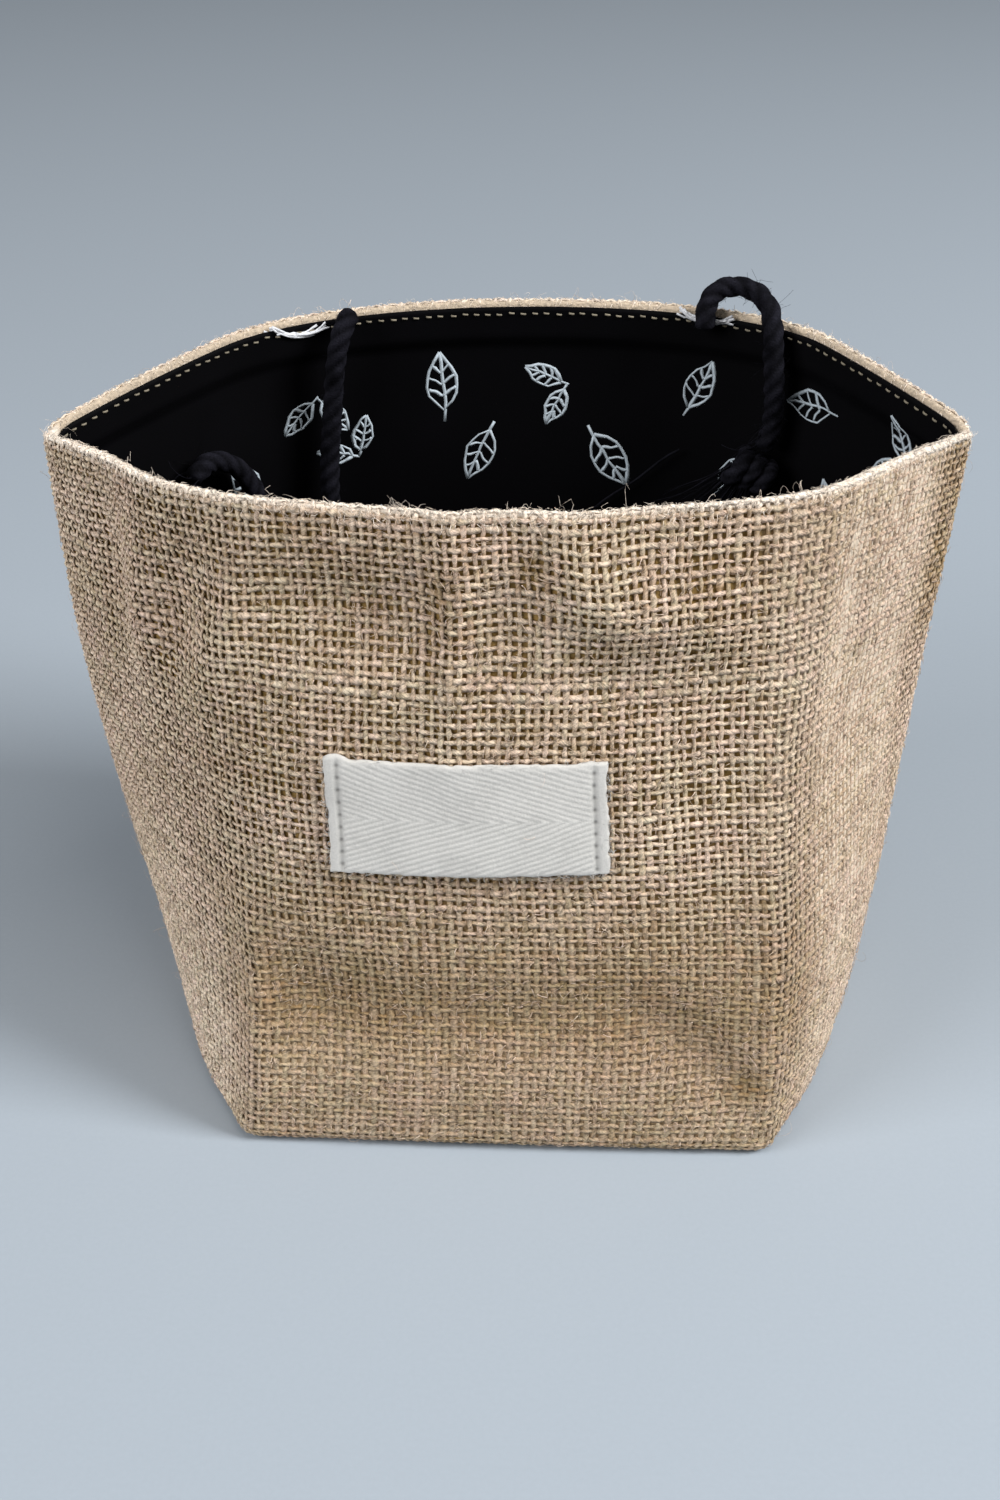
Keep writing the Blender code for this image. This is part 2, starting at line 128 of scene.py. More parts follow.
# Zones of a half, in millimetres across it from its first seam, and up it
CHEEK_END = 66.0  # of the side panel at the left of the front
PANEL_START = 176.0  # of the side panel at the right, where the cloth is drawn flat
CORNER_START = 234.0
FOOT_TOP = 80.0  # the cloth lies closer below it

# The weave: how its two ways differ, its first row, and how pale each half's rim is, partly worn
# and partly a painted highlight where the fold's top catches the light
Way = namedtuple("Way", "swing tone foot_tone foot_width")
# Each way's foot painted shade is added to the painted shade that darkens its yarns above the foot
WAYS = {"warp": Way(1.0, 0.47, 0.06, 0.30), "weft": Way(-1.0, 0.60, -0.08, 0.08)}
Net = namedtuple("Net", "across along run number crossing")  # of the yarns of one way
SEEDS = {"front": 100, "back": 200}
FIRST_ROW = -4.2
LAST_ROW = RIM_HEIGHT + 4.9
YARN_THICKNESS = 0.31  # half of it
RIM_WEAR_AND_HIGHLIGHT = {"front": 1.0, "back": 0.45}

# Darker patches of the front, partly stains and partly painted shade on the dark sides of folds:
# place across and up, reach across and up, depth of tone
STAINS_AND_PAINTED_SHADE = (
    (-11.0, 130.0, 3.2, 8.0, 0.32),
    (6.5, 136.0, 5.5, 4.5, 0.30),
    (-42.0, 143.0, 4.0, 3.0, 0.22),
    (-34.0, 64.0, 7.0, 7.0, 0.10),
    (50.0, 18.0, 5.5, 4.5, 0.30),
)

# Groups of hairs: their half, count, lowest and highest place up the cloth, shortest and
# longest, how far they stand off, and their curl
LOOSE_FIBRES = (
    ("front", 1500, 1.0, RIM_HEIGHT - 2, (1.8, 6.0), 0.35, 1.6),
    ("back", 350, 1.0, RIM_HEIGHT - 2, (1.8, 6.0), 0.35, 1.6),
    ("front", 170, RIM_HEIGHT - 1.5, RIM_HEIGHT, (1.2, 3.6), 0.6, 2.0),
    ("back", 150, RIM_HEIGHT - 1.5, RIM_HEIGHT, (1.2, 3.6), 0.5, 2.0),
    ("front", 26, RIM_HEIGHT - 1.5, RIM_HEIGHT, (5.0, 9.0), 1.2, 3.4),
    ("back", 8, RIM_HEIGHT - 1.5, RIM_HEIGHT, (4.0, 7.0), 1.4, 3.4),
    ("front", 150, 4.0, RIM_HEIGHT - 4, (2.5, 6.5), 1.8, 2.0),
    ("back", 100, 4.0, RIM_HEIGHT - 4, (2.5, 6.5), 1.8, 2.0),
)
# Groups of flecks of the nap: the same, but with their tones and half thicknesses at the end
NAP = (
    ("front", 6500, 1.0, RIM_HEIGHT - 2, (0.7, 2.6), 0.18, (0.3, 1.0), (0.05, 0.12)),
    ("front", 1500, RIM_HEIGHT - 2.6, RIM_HEIGHT + 1, (0.5, 1.9), 0.22, (0.8, 1.0), (0.03, 0.07)),
    ("back", 1000, RIM_HEIGHT - 2, RIM_HEIGHT + 1.6, (0.5, 1.9), 0.22, (0.8, 1.0), (0.03, 0.07)),
)
RIM_GROUP = 100.0  # a group of hairs that starts above this height belongs to the rim
LOWEST_HAIR = 0.3

# The label's middle on the front, and how far it climbs for each millimetre across
LABEL_ACROSS = -6.6
LABEL_UP = 84.4
LABEL_LEAN = 0.025
LABEL_DEPTH = -0.2  # of its back, which lies out from the wall's face

# Routes of the ties, in millimetres, from the rim to the free end, as in the solids
LEFT_ROUTE = (
    (-41.4, 57.0, 148.3), (-42.4, 55.3, 147.2), (-43.9, 53.3, 144.2), (-45.2, 52.7, 139.0),
    (-46.0, 52.7, 132.0), (-46.7, 52.7, 125.0), (-47.5, 52.3, 117.0), (-48.0, 51.6, 108.0),
    (-48.2, 51.0, 99.0), (-48.8, 50.4, 90.5), (-51.2, 49.0, 83.4), (-55.4, 46.6, 80.4),
    (-59.4, 44.4, 83.4), (-61.4, 43.0, 91.0), (-62.8, 42.4, 100.0), (-65.2, 41.0, 109.6),
    (-69.0, 38.0, 117.0), (-73.6, 33.6, 119.8), (-77.6, 28.8, 117.1),
)
RIGHT_ROUTE = (
    (41.8, 56.1, 145.8), (41.6, 56.2, 148.6), (42.2, 57.2, 151.8), (44.4, 58.2, 154.6),
    (48.4, 58.3, 155.7), (52.6, 56.8, 155.2), (55.8, 53.3, 153.0), (57.0, 49.8, 148.4),
    (57.5, 48.0, 142.0), (58.2, 47.3, 135.0), (58.4, 47.0, 128.0), (57.6, 46.6, 123.0),
    (56.2, 46.4, 119.9),
)
STRAY_YARN = ((37.6, 57.6, 114.5), (28.5, 59.6, 107.0), (16.4, 59.3, 96.4))
End = namedtuple("End", "route head radius wide strands length aim opening far_end")
ENDS = {
    "left": End(
        LEFT_ROUTE, (-78.8, 26.0, 113.2), 4.0, 1.1, 90, 16.0, (0.10, -0.10, -1.0), 0.26, "bare"
    ),
    "right": End(
        RIGHT_ROUTE, (54.0, 46.0, 114.3), 5.4, 1.35, 150, 24.0, (-0.50, -0.06, -1.0), 0.38, "knot"
    ),
}

# Ends of white thread left in the seam beside the ties
SCRAP_ROUTES = (
    ((-60.0, 52.3, 145.2), (-57.0, 53.4, 143.9), (-54.0, 54.5, 143.2), (-51.0, 55.7, 143.4),
     (-48.0, 56.8, 144.6)),
    ((36.6, 60.5, 148.9), (39.0, 59.7, 147.6), (42.0, 58.8, 147.0), (45.0, 57.8, 147.1),
     (48.0, 56.8, 147.9)),
)

# The stage, in metres: each lamp's place, size, power and colour, then the camera
LAMPS = {
    "key": ((1.50, -0.37, 1.33), 0.68, 47.0, (0.95, 0.975, 1.0)),
    "front": ((0.50, -0.60, 2.15), 1.0, 12.5, (1.0, 0.99, 0.97)),
    "left": ((-1.40, -0.90, 1.0), 1.1, 28.0, (0.95, 0.97, 1.0)),
}
LAMP_AIM = (0.0, 0.0, 0.07)
SKY_COLOUR = (0.62, 0.65, 0.70)
SKY_STRENGTH = 0.20
FLOOR_REACH = 5000.0  # millimetres
CAMERA_PLACE = (0.009, -0.3735, 0.3085)
CAMERA_TURNS = (33.3, -2.0, 0.3)  # down, to the side and round its axis, in degrees
CAMERA_LENS = 68.4
SENSOR_WIDTH = 36.0


# ---------------------------------------------------------------- shapes


def ramp(value, start, reach):
    """A straight rise from 0 at the start to 1 a reach further on; it is level past both."""
    return np.clip((value - start) / reach, 0, 1)


def ease(share):
    """A share from 0 to 1 with soft ends: three times its square less twice its cube."""
    return share * share * (3 - 2 * share)


def rounded(gap, reach):
    """The height of a quarter circle, from 0 at an edge to 1 a reach in from it."""
    return np.sqrt(np.clip(1 - (1 - ramp(gap, 0, reach)) ** 2, 0, 1))


def blend_rows(share):
    """The levels at the given shares: a smooth cubic through the table, column by column."""
    table = np.array(LEVELS)
    known, values = table[:, 0], table[:, 1:]
    slope = np.diff(values, axis=0) / np.diff(known)[:, None]
    tangent = np.vstack([slope[:1], (slope[1:] + slope[:-1]) / 2, slope[-1:]])
    return cubic(share, known, values, tangent)


def cubic(x, known, values, tangent):
    """Cubic pieces through the known values with the given slopes."""
    index = np.clip(np.searchsorted(known, x) - 1, 0, len(known) - 2)
    span = (known[index + 1] - known[index])[:, None]
    t = (x[:, None] - known[index][:, None]) / span
    return (
        (2 * t**3 - 3 * t**2 + 1) * values[index]
        + (t**3 - 2 * t**2 + t) * span * tangent[index]
        + (3 * t**2 - 2 * t**3) * values[index + 1]
        + (t**3 - t**2) * span * tangent[index + 1]
    )


def unit(vectors):
    """The vectors at length one."""
    return vectors / np.maximum(np.linalg.norm(vectors, axis=-1, keepdims=True), 1e-9)


def guide_points(rows):
    """The twelve guide points of each level, anticlockwise from the front, and their softness."""
    level = Level(None, *rows.T)
    zero = np.zeros(len(rows))
    pairs = (
        (zero, level.front),
        (level.fold_right, level.fold_y),
        (zero, zero),
        (level.seam_right, level.seam_y),
        (zero, zero),
        (level.back_fold, level.back_fold_y),
        (zero, level.back),
        (-level.back_fold, level.back_fold_y),
        (zero, zero),
        (-level.seam_left, level.seam_y),
        (zero, zero),
        (-level.fold_left, level.fold_y),
    )
    points = np.stack([np.stack(pair, axis=-1) for pair in pairs], axis=1)
    fold, right, seam = level.fold_soft, level.right_soft, level.seam_soft
    full = zero + 1
    softness = (full, right, full, seam, full, fold, full, fold, full, seam, full, fold)
    for cheek in (2, 4, 8, 10):
        start, end = points[:, cheek - 1], points[:, (cheek + 1) % 12]
        along = unit(end - start)
        square = np.stack([along[:, 1], -along[:, 0]], axis=-1)
        points[:, cheek] = (start + end) / 2 + level.cheek[:, None] * square
    return points, np.stack(softness, axis=1)


def outlines(share, side, steps=24):
    """Each level's outline from seam to seam, its corners rounded by parabolas."""
    points, softness = guide_points(blend_rows(share))
    t = np.linspace(0, 1, steps + 1)[:, None]
    corner = points[:, :, None]
    reach = softness[:, :, None, None] / 2
    start = corner + (np.roll(points, 1, axis=1)[:, :, None] - corner) * reach
    end = corner + (np.roll(points, -1, axis=1)[:, :, None] - corner) * reach
    arcs = (1 - t) ** 2 * start + 2 * t * (1 - t) * corner + t**2 * end
    order = (9, 10, 11, 0, 1, 2, 3) if side == "front" else (3, 4, 5, 6, 7, 8, 9)
    path = arcs[:, order].reshape(len(share), -1, 2)
    return path[:, steps // 2 : -(steps // 2)]


class Wall:
    """One half of the bag's outer face, worked out once on a fine net of places and heights."""

    def __init__(self, side):
        self.side = side
        share = np.linspace(0, 1, GRID_ROWS)
        place = np.linspace(0, 1, GRID_COLUMNS)
        plan, across = [], []
        for path in outlines(share, side):
            run = run_length(path)
            along = place * run[-1]
            plan.append([np.interp(along, run, axis) for axis in path.T])
            across.append(along - run[-1] / 2)
        plan = np.swapaxes(np.array(plan), 1, 2)
        across = np.array(across) * (1 if side == "front" else -1)
        drop = np.abs(2 * place - 1) ** RIM_POWER
        rim = RIM_HEIGHT - (RIM_HEIGHT - CORNER_HEIGHT) * drop + RIM_TILT * plan[:, :, 0]
        height = share[:, None] * rim
        along = unit(np.gradient(plan, axis=1))
        outward = np.stack([along[:, :, 1], -along[:, :, 0]], axis=-1)
        plan = plan - outward * self.hollow(across, height)[:, :, None]
        self.points = np.concatenate([plan, height[:, :, None]], axis=-1)
        self.across = unit(np.gradient(self.points, axis=1))
        self.upward = unit(np.gradient(self.points, axis=0))
        self.outward = unit(np.cross(self.across, self.upward))

    def hollow(self, across, up):
        """Depth of all the soft hollows at a place on the cloth: a sum of bell curves."""
        depth = np.zeros_like(across)
        for middle, height, reach_across, reach_up, turn, deep in HOLLOWS[self.side]:
            turn = np.radians(turn)
            x, y = across - middle, up - height
            wide = (x * np.cos(turn) + y * np.sin(turn)) / reach_across
            high = (y * np.cos(turn) - x * np.sin(turn)) / reach_up
            depth += deep * np.exp(-(wide**2) - high**2)
        return depth

    def read(self, net, place, up):
        """A net's value between its points: a straight blend of the four nearest."""
        x = np.clip(place, 0, 1) * (GRID_COLUMNS - 1)
        y = np.clip(up / RIM_HEIGHT, 0, 1) * (GRID_ROWS - 1)
        column = np.minimum(x.astype(int), GRID_COLUMNS - 2)
        row = np.minimum(y.astype(int), GRID_ROWS - 2)
        x, y = (x - column)[..., None], (y - row)[..., None]
        low = net[row, column] * (1 - x) + net[row, column + 1] * x
        high = net[row + 1, column] * (1 - x) + net[row + 1, column + 1] * x
        return low * (1 - y) + high * y

    def face(self, place, up):
        """The outer face's points, and its directions across, up and out."""
        point = self.read(self.points, place, up)
        nets = (self.across, self.upward, self.outward)
        return point, *(unit(self.read(net, place, up)) for net in nets)

    def cloth(self, place, along):
        """Middle of the burlap: points, across, onward and outward directions.

        Along runs up the wall in millimetres. Below the base's radius the cloth turns a quarter
        circle under the bag, and above the fold's start it turns a half circle into the bag
        and runs down again.
        """
        place, along = np.broadcast_arrays(place, along)
        under = np.maximum(BASE_RADIUS - along, 0)
        turn = np.minimum(under / BASE_RADIUS, np.pi / 2)
        up = np.clip(along, BASE_RADIUS, FOLD_START)
        up = np.where(under > 0, BASE_RADIUS * (1 - np.sin(turn)), up)
        point, across, upward, outward = self.face(place, up)
        inset = BASE_RADIUS * (1 - np.cos(turn))
        inset = inset + np.maximum(under - BASE_RADIUS * np.pi / 2, 0)
        point = point - unit(point * (1, 1, 0)) * inset[..., None]
        down = np.array((0.0, 0.0, -1.0))
        bent = unit(outward * np.cos(turn)[..., None] + down * np.sin(turn)[..., None])
        outward = np.where((under > 0)[..., None], bent, outward)
        middle = point - outward * CLOTH_DEPTH
        over = np.maximum(along - FOLD_START, 0)
        turn = np.minimum(over / FOLD_RADIUS, np.pi)[..., None]
        centre = middle - outward * FOLD_RADIUS
        rest = np.maximum(over - np.pi * FOLD_RADIUS, 0)[..., None]
        face = outward * np.cos(turn) + upward * np.sin(turn)
        folded = centre + FOLD_RADIUS * face - upward * rest
        fold = (over > 0)[..., None]
        middle = np.where(fold, folded, middle)
        outward = np.where(fold, face, outward)
        return middle, across, np.cross(outward, across), outward

    def inside(self, place, up, depth):
        """Points at a depth in from the wall's outer face, with their directions."""
        place, up = np.broadcast_arrays(place, up)
        point, across, upward, outward = self.face(place, up)
        inset = BASE_RADIUS * (1 - rounded(up, BASE_RADIUS))
        point = point - unit(point * (1, 1, 0)) * inset[..., None]
        return point - outward * np.asarray(depth)[..., None], across, upward, outward


def soft_noise(seed, x, y):
    """Smooth noise from -1 to 1: random heights on a net of whole numbers, blended softly."""
    table = np.random.default_rng(seed).uniform(-1, 1, (NOISE_NET, NOISE_NET))
    x, y = np.broadcast_arrays(np.asarray(x, float), np.asarray(y, float))
    column, row = np.floor(x).astype(int), np.floor(y).astype(int)
    x, y = ease(x - column), ease(y - row)
    after, above = (column + 1) % NOISE_NET, (row + 1) % NOISE_NET
    column, row = column % NOISE_NET, row % NOISE_NET
    low = table[row, column] * (1 - x) + table[row, after] * x
    high = table[above, column] * (1 - x) + table[above, after] * x
    return low * (1 - y) + high * y


def calm(side, across, along):
    """Where the weave shows least, from 0 to 1: near the foot, and past the right-hand fold."""
    low = ease(ramp(along, FOOT_TOP, -46))
    end = ramp(across, PANEL_START, 20) - 0.6 * ramp(across, CORNER_START - 2, 8)
    return np.broadcast_arrays(low, end * (side == "front"))


def lining_depth(up):
    """How far in the lining's outer face lies: it steps over the turned-in hem."""
    return LINING_DEPTH + 1.35 * ease(ramp(up, RIM_HEIGHT - HEM_DEPTH - HEM_STEP, HEM_STEP))


def lining_point(wall, place, up, lift=0.0):
    """The lining's inner face: the wall moved in, with soft folds that only stand inwards."""
    place, up = np.asarray(place), np.asarray(up)
    x = place * HALF_WIDTH
    seed = 31 if wall.side == "front" else 37
    folds = 0.5 + 0.5 * soft_noise(seed, x / 16, up / 38)
    ripple = 0.5 + 0.5 * soft_noise(seed + 1, x / 7 + up / 30, up / 22)
    ends = ramp(up, RIM_HEIGHT - 12, -20) * ramp(up, 0, 12)
    soft = 0.6 + ends * (0.9 * folds**2 + 0.35 * ripple)
    return wall.inside(place, up, lining_depth(up) + soft + lift)


def smooth_route(route, step=0.6):
    """Points along a smooth cubic curve through a route's own points, a step or less apart."""
    points = np.array(route)
    chord = run_length(points)
    along = np.linspace(0, chord[-1], int(np.ceil(chord[-1] / step)) + 1)
    return cubic(along, chord, points, np.gradient(points, chord, axis=0))


def run_length(points):
    """The length of a path from its start to each of its points."""
    return np.concatenate([[0], np.cumsum(np.linalg.norm(np.diff(points, axis=0), axis=1))])


def curled_places(random, count, low, high, reach, curl, steps, flat=1.0):
    """Places across and up the cloth along curled hairs: even steps whose heading turns."""
    t = np.linspace(0, 1, steps)[None]
    across = random.uniform(2, HALF_WIDTH - 2, (count, 1))
    along = random.uniform(low, high, (count, 1))
    turn = random.uniform(0, 2 * np.pi, (count, 1)) + t * random.normal(0, curl, (count, 1))
    size = random.uniform(*reach, (count, 1)) / (steps - 1)
    across = across + np.cumsum(size * np.cos(turn), axis=1)
    along = along + np.cumsum(size * np.sin(turn), axis=1) * flat
    return across, along


def wavy_strands(seed, start, heading, bow, wave, steps=9):
    """Paths of loose strands: a straight run, a bow that grows with its square, and a wave."""
    random = np.random.default_rng(seed)
    count = len(start)
    t = np.linspace(0, 1, steps)[None, :, None]
    phase = random.uniform(0, 6.28, (count, 1, 3)) + t * random.uniform(4, 9, (count, 1, 3))
    path = start[:, None] + heading[:, None] * t + bow[:, None] * t * t
    return path + wave * t * np.sin(phase)


def spread(values, steps):
    """Values of each hair carried along all its steps."""
    return values * np.ones((1, steps, 1))


# ---------------------------------------------------------------- meshes


def new_mesh(name, vertices, *faces):
    """A mesh from an array of points in millimetres and arrays of faces, one for each size."""
    mesh = bpy.data.meshes.new(name)
    corners = np.concatenate([face.ravel() for face in faces]).astype(np.int32)
    sizes = np.concatenate([np.full(len(face), face.shape[1]) for face in faces])
    starts = np.concatenate([[0], np.cumsum(sizes)[:-1]]).astype(np.int32)
    mesh.vertices.add(len(vertices))
    mesh.vertices.foreach_set("co", (np.asarray(vertices) * MM).astype(np.float32).ravel())
    mesh.loops.add(len(corners))
    mesh.loops.foreach_set("vertex_index", corners)
    mesh.polygons.add(len(sizes))
    mesh.polygons.foreach_set("loop_start", starts)
    mesh.update(calc_edges=True)
    mesh.shade_smooth()
    return mesh


def set_tone(mesh, values):
    """The tone of each point, one to three channels, as an attribute that a material reads."""
    layer = mesh.attributes.new("tone", "FLOAT_COLOR", "POINT")
    colours = np.ones((len(mesh.vertices), 4), np.float32)
    colours[:, : values.shape[-1]] = values.reshape(-1, values.shape[-1])
    layer.data.foreach_set("color", colours.ravel())


def set_uv(mesh, values):
    """The piece's own map, from one pair for each corner of each face."""
    layer = mesh.uv_layers.new(name=UV_MAP)
    layer.uv.foreach_set("vector", values.astype(np.float32).ravel())


def square_frames(path, lean=(0.13, 1.0, 0.21)):
    """Two directions square to each path: across a fixed lean, and square to both."""
    onward = unit(np.gradient(path, axis=1))
    side = unit(np.cross(onward, np.array(lean)))
    return side, np.cross(side, onward)


def tube_mesh(name, points, place):
    """Closed tubes from their rings: arrays of tubes, steps and sides, and their map.

    The map has one more side than the rings have, so that it closes without a jump.
    """
    number = np.arange(points[..., 0].size).reshape(points.shape[:3])
    after = np.roll(number, -1, axis=2)
    walls = np.stack([number[:, :-1], number[:, 1:], after[:, 1:], after[:, :-1]], axis=-1)
    ends = np.concatenate([number[:, 0], number[:, -1, ::-1]])
    mesh = new_mesh(name, points.reshape(-1, 3), walls.reshape(-1, 4), ends)
    corners = (place[:, :-1, :-1], place[:, 1:, :-1], place[:, 1:, 1:], place[:, :-1, 1:])
    maps = (np.stack(corners, axis=3), place[:, 0, :-1], place[:, -1, -2::-1])
    set_uv(mesh, np.concatenate([part.reshape(-1, 2) for part in maps]))
    return mesh


def thread_mesh(name, path, side, face, width, thick, sides=4, columns=1, tones=None, painted_outer_light=0.0):
    """Many closed threads at once: an oval of few sides carried along each path.

    Path, side and face are arrays of threads, steps and three numbers; width and thick are
    half sizes. The map lays each thread in a cell of its own, length along and turn across.
    """
    threads, steps = path.shape[:2]
    angle = 2 * np.pi * np.arange(sides) / sides + (np.pi / 2 if sides == 3 else 0.0)
    width = np.broadcast_to(width, (threads, steps))[:, :, None, None]
    thick = np.broadcast_to(thick, (threads, steps))[:, :, None, None]
    ring = side[:, :, None] * width * np.cos(angle)[:, None]
    ring = ring + face[:, :, None] * thick * np.sin(angle)[:, None]
    rows = -(-threads // columns)
    index = np.arange(threads)[:, None, None]
    u = (0.01 + 0.98 * np.arange(steps) / (steps - 1))[None, :, None]
    v = (0.06 + 0.88 * np.arange(sides + 1) / sides)[None, None, :]
    u, v = (index // rows) / columns + u / columns, (index % rows) / rows + v / rows
    place = np.stack(np.broadcast_arrays(u, v), axis=-1)
    mesh = tube_mesh(name, path[:, :, None] + ring, place)
    if tones is not None:
        tones = np.broadcast_to(tones[:, :, None], (threads, steps, sides, tones.shape[-1])).copy()
        # Painted light and shade: the side of each thread towards its face is lighter, the
        # opposite side darker
        tones[..., 0] += painted_outer_light * np.sin(angle)
        set_tone(mesh, np.clip(tones, 0, 1))
    return mesh


def hair_mesh(name, path, thick, flat=1.0, sides=3, columns=8, tones=None):
    """Hairs along paths of their own: threads whose directions come from the paths alone."""
    side, face = square_frames(path)
    return thread_mesh(name, path, side, face, thick, flat * thick, sides, columns, tones)


def cord_tube(name, route, diameter, turn):
    """A three-ply cord: a circle with three soft lobes that turn as it follows its route."""
    path = smooth_route(route)
    sides, radius = 24, diameter / 2
    along = run_length(path)
    angle = 2 * np.pi * np.arange(sides + 1)[None] / sides
    twist = 2 * np.pi * along / turn + 0.8 * soft_noise(6, along / 14, 0.5)
    lobe = np.abs(np.cos(1.5 * (angle + twist[:, None]))) ** 0.8
    uneven = soft_noise(5, along[:, None] / 4.0, 3 * np.cos(angle))
    fine = soft_noise(7, along[:, None] / 1.1, 9 * np.cos(angle + 1))
    size = radius * (0.80 + 0.22 * lobe + 0.06 * uneven + 0.04 * fine)
    ends = ramp(np.minimum(along, along[-1] - along), 0, 0.6 * radius)
    size = size * np.sqrt(np.clip(1 - (1 - ends) ** 2, 0.05, 1))[:, None]
    side, face = square_frames(path[None])
    ring = side[0][:, None] * np.cos(angle)[..., None]
    ring = ring + face[0][:, None] * np.sin(angle)[..., None]
    points = path[:, None] + ring * size[:, :, None]
    place = np.broadcast_arrays(along[:, None] / along[-1], angle / (2 * np.pi))
    mesh = tube_mesh(name, points[None, :, :-1], np.stack(place, axis=-1)[None])
    set_tone(mesh, lobe[:, :-1, None])
    return mesh, path, along[-1]


def closed_bag(name, rings, shares):
    """A bag from rings, top to bottom, with the base closed by smaller rings and a middle."""
    centre = rings[-1].mean(axis=0)
    inner = centre + (rings[-1] - centre) * np.array(shares)[:, None, None]
    inner[:, :, 2] = rings[-1, :, 2]
    grid = np.concatenate([rings, inner])
    number = np.arange(grid[..., 0].size).reshape(grid.shape[:2])
    after = np.roll(number, -1, axis=1)
    walls = np.stack([number[1:], after[1:], after[:-1], number[:-1]], axis=-1)
    fan = np.stack([number[-1], np.full_like(number[-1], number.size), after[-1]], axis=-1)
    return new_mesh(name, np.vstack([grid.reshape(-1, 3), centre]), walls.reshape(-1, 4), fan)


def add_thickness(piece, thickness):
    """Gives a sheet its thickness, inwards from its face."""
    solid = piece.modifiers.new("thickness", "SOLIDIFY")
    solid.thickness = thickness * MM
    solid.offset = -1.0


def finish_piece(mesh, material, slot, *nodes):
    """The object for a finished mesh: its material, its body, and the model's parts it stands for,
    which it hides; the slot is not used.
    """
    piece = bpy.data.objects.new(mesh.name, mesh)
    bpy.context.scene.collection.objects.link(piece)
    mesh.materials.append(material)
    if nodes:
        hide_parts(*nodes)
    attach(piece, BODY)
    return piece


# ---------------------------------------------------------------- materials


def add(tree, kind, inputs=None, **settings):
    """A shader node with its settings; each input is a value or another node's output."""
    made = tree.nodes.new("ShaderNode" + kind)
    for name, value in settings.items():
        setattr(made, name, value)
    for name, value in (inputs or {}).items():
        socket = made.inputs[name]
        if isinstance(value, bpy.types.NodeSocket):
            tree.links.new(value, socket)
        else:
            socket.default_value = value
    return made


def maths(tree, operation, first, second=0.0, third=0.0, clamp=False):
    """The result of one Math node."""
    values = {0: first, 1: second, 2: third}
    return add(tree, "Math", values, operation=operation, use_clamp=clamp).outputs[0]


def scaled(tree, value, times, plus):
    """A value times one number, plus another."""
    return maths(tree, "MULTIPLY_ADD", value, times, plus)


def blend(tree, factor, first, second, how="MIX"):
    """The result of one Mix node on two colours."""
    inputs = {0: factor, 6: first, 7: second}
    return add(tree, "Mix", inputs, data_type="RGBA", blend_type=how).outputs[2]


def colour(value):
    """A colour with its alpha, for a socket."""
    return (*value[:3], 1.0)


def noise(tree, scale, detail=2.0, roughness=0.5):
    """A noise on the object's own coordinates, its scale in waves for each metre."""
    here = add(tree, "TexCoord").outputs["Object"]
    inputs = {"Vector": here, "Scale": scale, "Detail": detail, "Roughness": roughness}
    return add(tree, "TexNoise", inputs).outputs[0]


def read_tone(tree):
    """The three channels of the piece's own tone."""
    tone = add(tree, "Attribute", attribute_name="tone").outputs["Color"]
    return tuple(add(tree, "SeparateColor", {"Color": tone}).outputs)


def new_material(name, roughness, **sockets):
    """A material, its tree and its shader, with the shader's own constant sockets set."""
    material = bpy.data.materials.new(name)
    material.use_nodes = True
    shader = material.node_tree.nodes["Principled BSDF"]
    shader.inputs["Roughness"].default_value = roughness
    for socket, value in sockets.items():
        shader.inputs[socket.replace("_", " ")].default_value = value
    return material, material.node_tree, shader


def add_bump(tree, shader, height, strength, distance):
    """A Bump node on the shader's normal."""
    bump = add(tree, "Bump", {"Height": height, "Strength": strength, "Distance": distance})
    tree.links.new(bump.outputs[0], shader.inputs["Normal"])


def paint(tree, shader, base, value):
    """Sets the shader's colour to a base colour times a value."""
    tree.links.new(blend(tree, 1.0, base, value, "MULTIPLY"), shader.inputs["Base Color"])


def speckled_material(name, roughness, base, scale, detail, times, plus, gloss=0.3):
    """A plain finish: its colour times a fine noise, which is scaled and moved up."""
    material, tree, shader = new_material(name, roughness, Specular_IOR_Level=gloss)
    paint(tree, shader, colour(base), scaled(tree, noise(tree, scale, detail), times, plus))
    return material


def jute_material(name, settings, shade=1.0, streaks=(130.0, 800.0, 4.0)):
    """Jute yarn: its tone, hue, and rim wear with its painted highlight come from the piece, with
    fine fibre streaks over them; the tone holds painted light and shade too.

    The streaks follow the piece's map: waves along it, waves across it, and their slant.
    """
    material, tree, shader = new_material(
        name, 0.9, Specular_IOR_Level=0.06, Sheen_Weight=0.06, Sheen_Roughness=0.5
    )
    tone, hue, wear_and_painted_light = read_tone(tree)
    strip = add(tree, "UVMap", uv_map=UV_MAP).outputs[0]
    stretch = add(tree, "Mapping", {"Vector": strip, "Scale": (*streaks[:2], 1.0)}).outputs[0]
    along, across, _ = add(tree, "SeparateXYZ", {"Vector": stretch}).outputs
    slant = maths(tree, "MULTIPLY_ADD", along, streaks[2], across)
    twisted = add(tree, "CombineXYZ", {"X": along, "Y": slant}).outputs[0]
    streak = add(tree, "TexNoise", {"Vector": twisted, "Scale": 1.0, "Detail": 2.0}).outputs[0]
    mixed = blend(tree, tone, colour(settings.dark), colour(settings.light))
    hue = blend(tree, hue, colour(settings.olive), colour(settings.rosy))
    mixed = blend(tree, 1.0, mixed, hue, "MULTIPLY")
    mixed = blend(tree, wear_and_painted_light, mixed, colour(settings.rim))
    grain = scaled(tree, noise(tree, 1300.0, 3.0, 0.7), 3.0, -0.5)
    value = maths(tree, "MULTIPLY", scaled(tree, streak, 2.3 * shade, -0.17 * shade), grain)
    paint(tree, shader, mixed, maths(tree, "MINIMUM", value, 1.3))
    add_bump(tree, shader, streak, 0.6, 0.00025)
    return material


